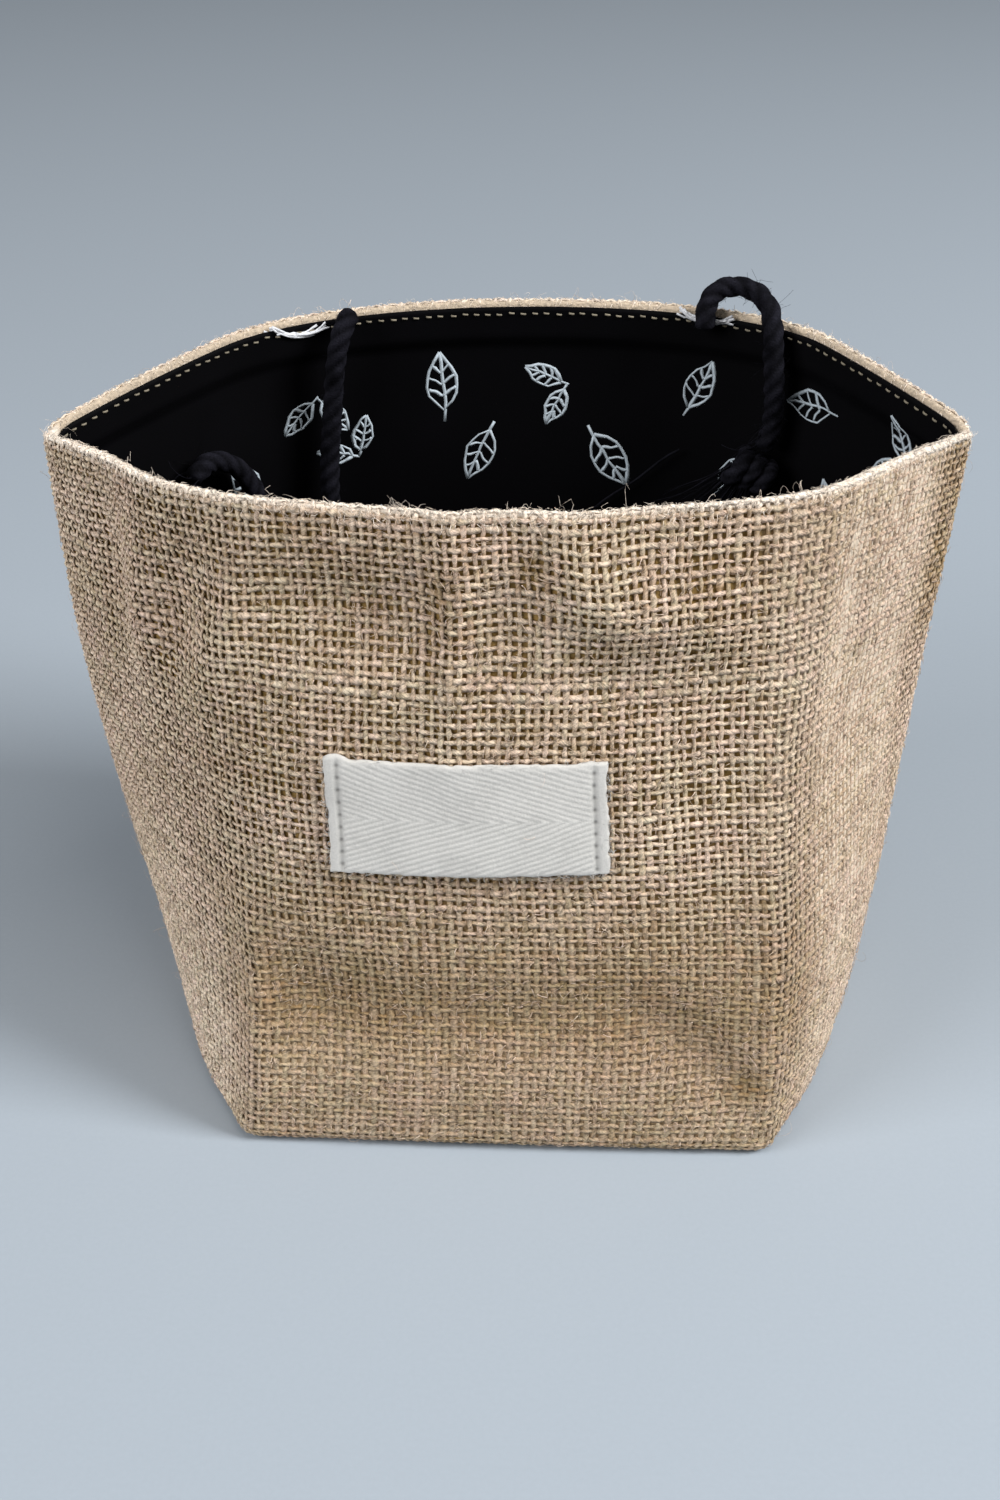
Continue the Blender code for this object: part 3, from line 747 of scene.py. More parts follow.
def ground_material(settings):
    """The fibres behind the yarns: deep brown, tan where the cloth lies close, pale at the rim
    (partly wear, partly a painted highlight) and paler on the right-hand panel as painted light.
    """
    material, tree, shader = new_material("jute_ground", 0.9, Specular_IOR_Level=0.15)
    wear_and_painted_light, close, _ = read_tone(tree)
    fibre = noise(tree, 1100.0, 3.0)
    deep = blend(tree, close, colour(settings.ground), colour(settings.foot))
    deep = blend(tree, 1.0, deep, scaled(tree, fibre, 1.4, 0.3), "MULTIPLY")
    pale = blend(tree, 1.0, colour(settings.rim), scaled(tree, fibre, 0.9, 0.5), "MULTIPLY")
    tree.links.new(blend(tree, wear_and_painted_light, deep, pale), shader.inputs["Base Color"])
    add_bump(tree, shader, fibre, 0.9, 0.0005)
    return material


def cord_material(settings):
    """Black cotton cord: worn paler on its crests, with fine fibres along the plies."""
    material, tree, shader = new_material("black_cotton_cord", 0.85, Specular_IOR_Level=0.07)
    fine = noise(tree, 2600.0, 3.0)
    patches = maths(tree, "MULTIPLY_ADD", noise(tree, 220.0), 2.4, -0.5, True)
    worn = maths(tree, "MULTIPLY", maths(tree, "MULTIPLY", read_tone(tree)[0], fine), patches)
    mixed = blend(tree, worn, colour(settings.cord), colour(settings.worn))
    tree.links.new(mixed, shader.inputs["Base Color"])
    add_bump(tree, shader, fine, 0.8, 0.0002)
    return material


def lining_material(settings):
    """Black cotton: nearly even, with broad soft patches and a fine weave."""
    material, tree, shader = new_material(
        "black_cotton", 0.7, Specular_IOR_Level=0.06, Sheen_Weight=0.01, Sheen_Roughness=0.4
    )
    weave = noise(tree, 3500.0)
    lift = scaled(tree, noise(tree, 60.0), 0.9, 0.5)
    lift = maths(tree, "MULTIPLY", lift, scaled(tree, weave, 0.8, 0.6))
    paint(tree, shader, colour(settings.cloth), lift)
    add_bump(tree, shader, weave, 0.35, 0.0001)
    return material


def tape_material(settings):
    """Off-white cotton tape: its relief's tone and painted shade, darker in the grooves, come from
    the piece, with fibres over it.
    """
    material, tree, shader = new_material("cotton_tape", 0.8, Specular_IOR_Level=0.2)
    fibre = noise(tree, 2600.0, 3.0)
    shade = maths(tree, "MULTIPLY", read_tone(tree)[0], scaled(tree, fibre, 0.3, 0.86))
    shade = maths(tree, "MULTIPLY", shade, scaled(tree, noise(tree, 120.0), 0.16, 0.95))
    paint(tree, shader, colour(settings.tape), shade)
    add_bump(tree, shader, fibre, 0.6, 0.00012)
    return material


# ---------------------------------------------------------------- settings


def length(default, name, description):
    """A length setting, in metres."""
    return bpy.props.FloatProperty(
        name=name, description=description, default=default, min=0.0, precision=5, unit="LENGTH"
    )


def tint(default, name, description):
    """A colour setting."""
    return bpy.props.FloatVectorProperty(
        name=name,
        description=description,
        default=default,
        size=3,
        min=0.0,
        max=1.0,
        subtype="COLOR",
    )


class BurlapSettings(bpy.types.PropertyGroup):
    """Sizes and colours of the woven burlap."""

    pitch: length(0.0019, "Thread spacing", "From one yarn's middle to the next one's")
    warp_width: length(0.00104, "Warp width", "Width of an upright yarn")
    weft_width: length(0.00112, "Weft width", "Width of a level yarn")
    crimp: length(0.00027, "Crimp", "How far a yarn swings to each side of the cloth")
    light: tint((0.735, 0.642, 0.562), "Light jute", "Colour of the palest yarn")
    dark: tint((0.26, 0.170, 0.068), "Dark jute", "Colour of the darkest yarn")
    rosy: tint((1.0, 0.87, 0.81), "Rosy jute", "Tint of the pinker patches")
    olive: tint((0.94, 0.90, 0.755), "Olive jute", "Tint of the greener patches")
    ground: tint((0.26, 0.16, 0.052), "Ground", "Colour of the fibres behind the yarns")
    foot: tint((0.45, 0.315, 0.18), "Foot ground", "The same where the cloth lies closer")
    # The rim's colour stands partly for wear and partly for a painted highlight on the fold's top;
    # the ground is also blended to it as painted light on the right-hand panel
    rim: tint((0.90, 0.785, 0.66), "Rim", "Colour of the worn cloth and hairs along the rim")


class LiningSettings(bpy.types.PropertyGroup):
    """Sizes and colours of the printed lining and its topstitching."""

    cloth: tint((0.0011, 0.0009, 0.0014), "Cloth", "Colour of the cotton")
    ink: tint((0.50, 0.56, 0.60), "Print", "Colour of the printed lines")
    line: length(0.0009, "Line width", "Width of a printed line")
    motif: length(0.032, "Motif spacing", "From one motif to the next in its row")
    row: length(0.0195, "Row spacing", "From one row of motifs to the next")
    stitch: length(0.0029, "Stitch pitch", "From one topstitch to the next")
    thread: tint((0.25, 0.215, 0.155), "Thread", "Colour of the topstitching")
    scrap: tint((0.80, 0.80, 0.82), "Scrap", "Colour of the thread ends at the ties")


class LabelSettings(bpy.types.PropertyGroup):
    """Sizes and colour of the tape label."""

    width: length(0.057, "Width", "Length of the tape between its turned ends")
    height: length(0.025, "Height", "Width of the tape")
    ridge: length(0.00118, "Ridge spacing", "From one twill ridge to the next")
    tape: tint((0.60, 0.573, 0.53), "Tape", "Colour of the cotton tape")
    hair: tint((0.78, 0.76, 0.72), "Hair", "Colour of the hairs round its edges")


class TieSettings(bpy.types.PropertyGroup):
    """Sizes and colours of the ties."""

    diameter: length(0.0048, "Cord diameter", "Diameter of the plied cord")
    turn: length(0.0125, "Ply turn", "Length of one full turn of the plies")
    cord: tint((0.0007, 0.0006, 0.0012), "Cord", "Colour of the black cord")
    worn: tint((0.024, 0.023, 0.033), "Worn fibre", "Colour of its frayed fibres")


class StageSettings(bpy.types.PropertyGroup):
    """Floor, light and camera."""

    floor: tint((0.36, 0.40, 0.44), "Floor", "Colour of the plain floor")
    strength: bpy.props.FloatProperty(
        name="Light", description="Strength of all the lamps", default=1.0, min=0.0
    )


# ---------------------------------------------------------------- operators


class SetStage(bpy.types.Operator):
    """Makes the plain pale floor, the soft studio lights and the camera."""

    bl_idname = "burlap_bag.set_stage"
    bl_label = "Set the stage"

    def execute(self, context):
        scene, settings = context.scene, context.scene.bag_stage
        corners = np.array([(-1, -1, 0), (1, -1, 0), (1, 1, 0), (-1, 1, 0)]) * FLOOR_REACH
        mesh = new_mesh("floor", corners, np.array([(0, 1, 2, 3)]))
        mesh.materials.append(
            speckled_material("floor_paper", 0.6, settings.floor, 900.0, 2.0, 0.06, 0.97, 0.2)
        )
        floor = bpy.data.objects.new("floor", mesh)
        scene.collection.objects.link(floor)
        scene.world = bpy.data.worlds.new("studio")
        scene.world.use_nodes = True
        background = scene.world.node_tree.nodes["Background"]
        background.inputs[0].default_value = colour(SKY_COLOUR)
        background.inputs[1].default_value = SKY_STRENGTH * settings.strength
        for name, (place, size, power, tone) in LAMPS.items():
            lamp = bpy.data.lights.new(name, "AREA")
            lamp.size = size
            lamp.energy = power * settings.strength
            lamp.color = tone
            made = bpy.data.objects.new(name, lamp)
            made.location = place
            aim = Vector(LAMP_AIM) - Vector(place)
            made.rotation_euler = aim.to_track_quat("-Z", "Y").to_euler()
            scene.collection.objects.link(made)
        scene.camera = self.camera()
        scene.collection.objects.link(scene.camera)
        scene.view_settings.view_transform = "Standard"
        scene.view_settings.look = "None"
        return {"FINISHED"}

    def camera(self):
        """The camera: its axis turned down and to the side, then rolled about itself."""
        down, pan, roll = np.radians(CAMERA_TURNS)
        ahead = np.array([np.sin(pan) * np.cos(down), np.cos(pan) * np.cos(down), -np.sin(down)])
        level = np.array([np.cos(pan), -np.sin(pan), 0.0])
        upright = np.cross(level, ahead)
        right = np.cos(roll) * level + np.sin(roll) * upright
        upright = np.cos(roll) * upright - np.sin(roll) * level
        data = bpy.data.cameras.new("camera")
        data.sensor_fit = "HORIZONTAL"
        data.sensor_width = SENSOR_WIDTH
        data.lens = CAMERA_LENS
        data.clip_start = 0.01
        camera = bpy.data.objects.new("camera", data)
        turned = Matrix((right, upright, -ahead)).transposed().to_4x4()
        camera.matrix_world = Matrix.Translation(CAMERA_PLACE) @ turned
        return camera


class MakeTies(bpy.types.Operator):
    """Makes the two plied cords with their knots and frayed ends."""

    bl_idname = "burlap_bag.make_ties"
    bl_label = "Make the ties"

    def execute(self, context):
        settings = context.scene.bag_ties
        thick, turn = settings.diameter / MM, settings.turn / MM
        material = cord_material(settings)
        for name, end in ENDS.items():
            mesh, path, long = cord_tube("cord_" + name, end.route, thick, turn)
            cord = finish_piece(mesh, material, "cord", "tie_" + name)
            pieces = [
                finish_piece(self.frayed_end(name, end, path), material, "cord", "tassel_" + name),
                finish_piece(self.knot(name, end, turn), material, "cord"),
                finish_piece(self.fuzz(name, path, thick), material, "cord"),
            ]
        return {"FINISHED"}

    def axes(self, end):
        """The way an end points, and two directions square to it."""
        aim = unit(np.array(end.aim))
        sideways = unit(np.cross(aim, (0.0, 1.0, 0.0)))
        return aim, sideways, np.cross(aim, sideways)

    def knot(self, name, end, cord_turn):
        """The head of an end: the cord's plies wound round it in a short helix."""
        aim, sideways, forwards = self.axes(end)
        turn = np.linspace(0, 2 * np.pi * 2.7, 34)[:, None]
        size = end.radius * (0.60 + 0.06 * np.sin(2.3 * turn))
        shift = (turn / turn[-1] - 0.5) * end.radius * end.wide * 1.25
        route = np.array(end.head) + sideways * shift
        route = route + size * (aim * np.cos(turn) + forwards * np.sin(turn))
        return cord_tube("knot_" + name, route, end.radius * 0.75, cord_turn * 0.8)[0]

    def fuzz(self, name, path, thick):
        """Short hairs that stand off the cord all along it, each bent back by its own curl."""
        random = np.random.default_rng(70 + len(name))
        count, steps = 260, 5
        at = random.integers(3, len(path) - 3, count)
        onward = unit(np.gradient(path, axis=0))[at]
        away = unit(np.cross(onward, random.normal(0, 1, (count, 3))))
        start = path[at] + away * thick * 0.42
        reach = random.uniform(0.6, 2.2, (count, 1))
        heading = unit(away * 0.8 + onward * random.normal(0, 0.8, (count, 1))) * reach
        bow = random.normal(0, 0.5, (count, 3)) * reach
        hairs = wavy_strands(71, start, heading, bow, 0.12, steps)
        tones = spread(random.uniform(0, 1, (count, 1, 1)), steps)
        return hair_mesh("cord_fuzz_" + name, hairs, 0.035, tones=tones)

    def frayed_end(self, name, end, path):
        """Strands that leave the head in a loose bundle, and the few that came out above it."""
        random = np.random.default_rng(len(name))
        count, few, steps = end.strands, 12, 9
        aim, sideways, forwards = self.axes(end)
        out = np.sqrt((np.arange(count) + 0.5) / count)
        turn = np.arange(count) * np.radians(137.508)
        offset = sideways * (out * np.cos(turn) * end.wide)[:, None]
        offset = offset + forwards * (out * np.sin(turn) * 0.8)[:, None]
        start = np.array(end.head) + offset * end.radius * 0.7
        reach = end.length * random.uniform(0.45, 1.1, count)
        heading = unit(aim + offset * end.opening) * reach[:, None]
        bow = offset * end.length * 0.16 + random.normal(0, 1.2, (count, 3)) + (0, 0, -2)
        strands = [wavy_strands(21, start, heading, bow, 0.45)]
        start = path[-14:][random.integers(0, 14, few)] + random.normal(0, 0.8, (few, 3))
        heading = np.array(end.head) + random.normal(0, 2.5, (few, 3)) - start
        heading = heading + sideways * random.uniform(-9, 1, (few, 1))
        bow = random.normal(0, 2.5, (few, 3)) * (1, 0.4, 1)
        strands.append(wavy_strands(22, start, heading, bow, 1.0))
        if name == "right":
            first, middle, last = np.array(STRAY_YARN)
            t = np.linspace(0, 1, steps)[:, None]
            stray = (1 - t) ** 2 * first + 2 * t * (1 - t) * middle + t * t * last
            strands.append((stray + (0, 0, 0.4) * np.sin(9 * t))[None])
        strands = np.concatenate(strands)
        thick = random.uniform(0.10, 0.24, (len(strands), 1)) * np.linspace(1, 0.35, steps)
        tones = spread(random.uniform(0.1, 1, (len(strands), 1, 1)) ** 2, steps)
        if name == "right":
            thick[-1], tones[-1] = 0.36, 0.5
        return hair_mesh("frayed_" + name, strands, thick, sides=4, tones=tones)


class WeaveWall(bpy.types.Operator):
    """Weaves the burlap: upright and level yarns over a thin ground, front and back."""

    bl_idname = "burlap_bag.weave_wall"
    bl_label = "Weave the wall"

    def execute(self, context):
        settings = context.scene.bag_burlap
        material = jute_material("jute_yarn", settings)
        for side in HALVES:
            for kind in WAYS:
                finish_piece(self.yarns(side, kind, settings), material, "burlap")
        ground = self.ground()
        ground = finish_piece(ground, ground_material(settings), "burlap", "burlap_shell")
        add_thickness(ground, 0.25)
        return {"FINISHED"}

    def lay_out(self, side, kind, pitch, random):
        """Where the yarns of one way run at each step, and their crossings.

        A warp yarn is a column with steps at the rows and half way between; a weft yarn is a
        row. A crossing is 1 or -1 by turns, and 0 half way. The back has fewer steps.
        """
        columns = int(HALF_WIDTH / pitch)
        rows = int((LAST_ROW - FIRST_ROW) / pitch)
        column_shift = random.normal(0, 0.10, columns)
        row_shift = random.normal(0, 0.10, rows)
        if kind == "warp":
            number = np.arange(columns)[:, None]
            coarse = 0 if side == "front" else rows - 7
            step = np.arange(2 * coarse, 2 * rows - 1) / 2
            step = np.concatenate([np.arange(coarse), step])[None]
            across = (number + 0.5) * pitch + column_shift[:, None]
            along = FIRST_ROW + (step + 0.5) * pitch
            along = along + np.interp(step, np.arange(rows), row_shift)
        else:
            number = np.arange(rows)[:, None]
            fine = 2 if side == "front" else 1
            step = np.arange(fine * (columns - 1) + 1) / fine
            step = np.concatenate([[-0.5], step, [columns - 0.5]])[None]
            across = (step + 0.5) * pitch
            across = across + np.interp(step, np.arange(columns), column_shift)
            along = FIRST_ROW + (number + 0.5) * pitch + row_shift[:, None]
        crossing = np.where(step % 1 == 0, 1 - 2 * ((number + step) % 2), 0)
        gap = (HALF_WIDTH - columns * pitch) / 2
        across, along = np.broadcast_arrays(across + gap, along)
        return Net(across, along, along if kind == "warp" else across, number, crossing)

    def yarns(self, side, kind, settings):
        """All the yarns of one way on one half, swinging over and under by turns.

        A yarn passes each crossing at the crimp's height, outwards and inwards by turns, and
        the middle of the cloth half way between. Places wander by smooth noise.
        """
        way, seed, warp = WAYS[kind], SEEDS[side], kind == "warp"
        random = np.random.default_rng(seed)
        net = self.lay_out(side, kind, settings.pitch / MM, random)
        across, along, run, number, crossing = net
        rim = ramp(along, FOLD_START + 1.2, 1.5)
        drift = 0.5 * soft_noise(seed + 1, across / 24, along / 18)
        rise = 0.55 * soft_noise(seed + 2, across / 30, along / 22)
        rise = rise + 0.2 * soft_noise(seed + 3, across / 9, along / 14)
        own = soft_noise(seed + 4, across / 8 + 17 * number, along / 8 + 31 * number)
        drift = drift + 0.15 * own * warp
        rise = rise + 0.14 * own * (not warp)
        seam = np.minimum(across, HALF_WIDTH - across)
        place = (across + drift * ramp(seam, 0, 4)) / HALF_WIDTH
        middle, sideways, onward, outward = WALLS[side].cloth(place, along + rise * (1 - rim))
        low, end = calm(side, across, along)
        cheek = self.cheek(side, across)
        crimp = settings.crimp / MM * way.swing * crossing * (1 - 0.8 * rim)
        crimp = crimp * (1 - np.maximum(0.35 * low, 0.80 * end)) * (1 + 0.30 * cheek)
        dip = 0.9 * np.exp(-((np.maximum(seam, 0) / 1.5) ** 2)) * (1 - rim)
        lump = 0.08 * soft_noise(seed + 5, across / 2.2, along / 2.2)
        path = middle + outward * (crimp - dip + lump)[..., None]
        wander = random.normal(0, 0.085, across.shape) * (1 - 0.5 * cheek)
        path = path + wander[..., None] * (sideways if warp else onward)
        slub = soft_noise(seed + 6, run / 12, 11.3 * number)
        fine = soft_noise(seed + 7, run / 2.3, 7.7 * number)
        own = np.exp(random.normal(0, 0.13, (len(across), 1)))
        uneven = random.normal(0, 1, across.shape)
        width = (settings.warp_width if warp else settings.weft_width) / MM / 2
        width = width * own * (1 + 0.20 * slub + 0.20 * fine + 0.13 * uneven)
        width = width * (1 + way.foot_width * low + 0.44 * end)
        thick = YARN_THICKNESS * (1 + 0.20 * fine) * (1 - 0.25 * end)
        tones = self.tones(side, way, seed, net, random)
        turned = sideways if warp else -onward
        name = f"{kind}_{side}"
        # Painted light and shade: each yarn's outer side is lighter and its inner side darker
        return thread_mesh(name, path, turned, outward, width, thick, tones=tones, painted_outer_light=0.10)

    def cheek(self, side, across):
        """The share of the front's left-hand side panel, where the weave stands out more."""
        return ramp(across, CHEEK_END, -12) * (side == "front")

    def tones(self, side, way, seed, net, random):
        """Brightness with its painted light and shade, rosy or olive hue, and rim wear with its
        painted highlight, of the yarns at each of their steps.
        """
        across, along, run, number, crossing = net
        low, end = calm(side, across, along)
        quiet, cheek = np.maximum(low, end), self.cheek(side, across)
        tone = way.tone + random.normal(0, 0.035, (len(across), 1))
        tone = tone + 0.10 * soft_noise(seed + 8, run / 9, 5.1 * number)
        tone = tone + 0.14 * soft_noise(seed + 9, run / 2.8, 3.3 * number)
        tone = tone + 0.13 * soft_noise(seed + 10, across / 19, along / 19)
        even = np.maximum(0.6 * quiet, 0.5 * cheek)
        tone = tone + 0.11 * random.normal(0, 1, across.shape) * (1 - even)
        # Painted light and shade: a yarn is lighter where it rides over a crossing and darker
        # where it dips under, more so on the left-hand side panel
        tone = tone + (0.14 + 0.16 * cheek) * way.swing * crossing * (1 - 0.7 * quiet)
        tone = np.minimum(tone, 0.62 + 0.6 * (tone - 0.62))
        # The rim's paleness is partly wear and partly a painted highlight where the fold's top
        # catches the light; it is added to the tone below and kept as the third channel
        pale = ramp(along, FOLD_START - 0.7, 1.5) * RIM_WEAR_AND_HIGHLIGHT[side]
        tone = tone + (0.5 - tone) * 0.4 * quiet
        # Painted shade: the yarns darker above the foot, by each way's foot painted shade, and the
        # right-hand panel a little darker
        tone = tone + 0.38 * pale + (way.foot_tone - 0.30) * low - 0.05 * end
        # Painted light: the foot, which flares out to face up, is lighter
        tone = tone + 0.14 * ramp(along, 34, -16)
        if side == "front":
            # Painted shade in the corner by the right-hand seam; the last few millimetres at the
            # seam are made lighter
            corner = ramp(across, CORNER_START, 5) * ramp(along, 92, 25)
            tone = tone - 0.30 * corner + 0.35 * ramp(across, CORNER_START + 12, 2)
            # Painted light: the side panels are kept lighter near the foot, where the front gets
            # its painted shade
            left = ramp(across, CHEEK_END + 8, -22)
            right = ramp(across, PANEL_START + 10, 20)
            tone = tone + (0.52 * left + 0.42 * right) * low
            # Darker patches: partly stains and partly painted shade on the dark sides of folds
            for middle, up, reach_across, reach_up, depth in STAINS_AND_PAINTED_SHADE:
                far = ((across - HALF_WIDTH / 2 - middle) / reach_across) ** 2
                tone = tone - depth * np.exp(-far - ((along - up) / reach_up) ** 2)
        rosy = 0.5 + 0.25 * soft_noise(seed + 11, across / 13, along / 13)
        rosy = rosy + 0.45 * soft_noise(seed + 12, run / 5, 2.9 * number)
        rosy = rosy + 0.12 * random.normal(0, 1, across.shape) - 0.06 * low + 0.15 * end
        tones = np.broadcast_arrays(np.clip(tone, 0, 1), np.clip(rosy, 0, 1), 0.8 * pale)
        return np.stack(tones, axis=-1)

    def ground(self):
        """The thin layer of fibres behind the yarns: it folds over the rim and closes the base."""
        top = FOLD_START + np.pi * FOLD_RADIUS + 3.4
        rim, wall = np.linspace(top, FOLD_START - 1, 14), np.linspace(FOLD_START - 3, 6, 42)
        along = np.concatenate([rim, wall, (4.0, 1.5, -0.5, -2.0)])[:, None]
        place = np.linspace(0, 1, RING_STEPS + 1)[None, :-1]
        fold = ease(ramp(along, FOLD_START + 0.9, 1.5))
        edge = ease(ramp(along, FOLD_START - 0.7, 1.3))
        rings, tones = [], []
        for side in HALVES:
            middle, _, _, outward = WALLS[side].cloth(place, along)
            low, end = calm(side, place * HALF_WIDTH, along)
            close = np.maximum(0.34 * edge, np.maximum(0.56 * end, 0.20 * low))
            rings.append(middle - outward * (0.48 - close - 0.44 * fold)[..., None])
            # Paleness of the ground: partly wear and partly a painted highlight at the rim, and
            # painted light on the brightly lit right-hand panel
            worn = np.maximum(edge * RIM_WEAR_AND_HIGHLIGHT[side], 0.50 * end)
            tones.append(np.stack([worn, np.maximum(low, end)], axis=-1))
        rings = np.concatenate(rings, axis=1)
        mesh = closed_bag("burlap_ground", rings, (0.97, 0.8, 0.55, 0.3, 0.1))
        tones = np.concatenate(tones, axis=1).reshape(-1, 2)
        base = np.zeros((len(mesh.vertices) - len(tones), 2)) + (0, 1)
        set_tone(mesh, np.concatenate([tones, base]))
        return mesh


class AddFibres(bpy.types.Operator):
    """Adds the nap and the loose jute fibres on the wall and along the rim."""

    bl_idname = "burlap_bag.add_fibres"
    bl_label = "Add the loose fibres"

    def execute(self, context):
        settings = context.scene.bag_burlap
        made = (("jute_nap", self.nap(), 1.12), ("jute_fibre", self.loose(), 1.15))
        for finish, mesh, shade in made:
            material = jute_material(finish, settings, shade, (3.0, 40.0, 0.0))
            finish_piece(mesh, material, "burlap")
        return {"FINISHED"}

    def loose(self):
        """Loose fibres: curled hairs whose middles stand off the cloth in one or two bows."""
        random = np.random.default_rng(44)
        steps = 6
        t = np.linspace(0, 1, steps)[None]
        paths, rims = [], []
        for side, count, low, high, reach, off, curl in LOOSE_FIBRES:
            at_rim = low > RIM_GROUP
            flat = 0.35 if at_rim else 1.0
            x, y = curled_places(random, count, low, high, reach, curl, steps, flat)
            y = np.minimum(y, RIM_HEIGHT + 2.0)
            point, _, _, outward = WALLS[side].cloth(np.clip(x / HALF_WIDTH, 0, 1), y)
            stand = np.abs(random.normal(0, off, (count, 1)))
            bend = random.uniform(0.5, 1.4, (count, 1))
            height = 0.42 + stand * np.abs(np.sin(np.pi * t * bend)) * (0.5 + t)
            point = point + outward * height[..., None]
            point[..., 2] += (0.6 * height - 0.2) * at_rim
            paths.append(point)
            rims.append(np.full(count, float(at_rim)))
        path = np.concatenate(paths)
        path[..., 2] = np.maximum(path[..., 2], LOWEST_HAIR)
        thick = random.uniform(0.026, 0.055, (len(path), 1)) * (1 - 0.5 * t)
        tones = spread(random.uniform(0.5, 1.0, (len(path), 1, 3)), steps)
        tones[..., 2] *= np.concatenate(rims)[:, None]
        return hair_mesh("loose_fibres", path, thick, columns=16, tones=tones)

    def nap(self):
        """The short fibre ends that blur the yarns, as flecks that lie on them at every angle."""
        random = np.random.default_rng(46)
        steps = 3
        t = np.linspace(0, 1, steps)[None]
        paths, tones, sizes = [], [], []
        for side, count, low, high, reach, lift, tone, thick in NAP:
            x, y = curled_places(random, count, low, high, reach, 1.0, steps)
            point, _, _, outward = WALLS[side].cloth(np.clip(x / HALF_WIDTH, 0, 1), y)
            height = 0.36 + np.abs(random.normal(0, lift, (count, 1))) * (0.4 + t)
            paths.append(point + outward * height[..., None])
            shade = spread(random.uniform(*tone, (count, 1, 3)), steps)
            tones.append(shade * (1, 1, float(low > RIM_GROUP)))
            sizes.append(random.uniform(*thick, (count, 1)) * (1.1 - 0.6 * t))
        path, tones, thick = (np.concatenate(part) for part in (paths, tones, sizes))
        path[..., 2] = np.maximum(path[..., 2], LOWEST_HAIR)
        return hair_mesh("jute_nap", path, thick, columns=16, tones=tones)


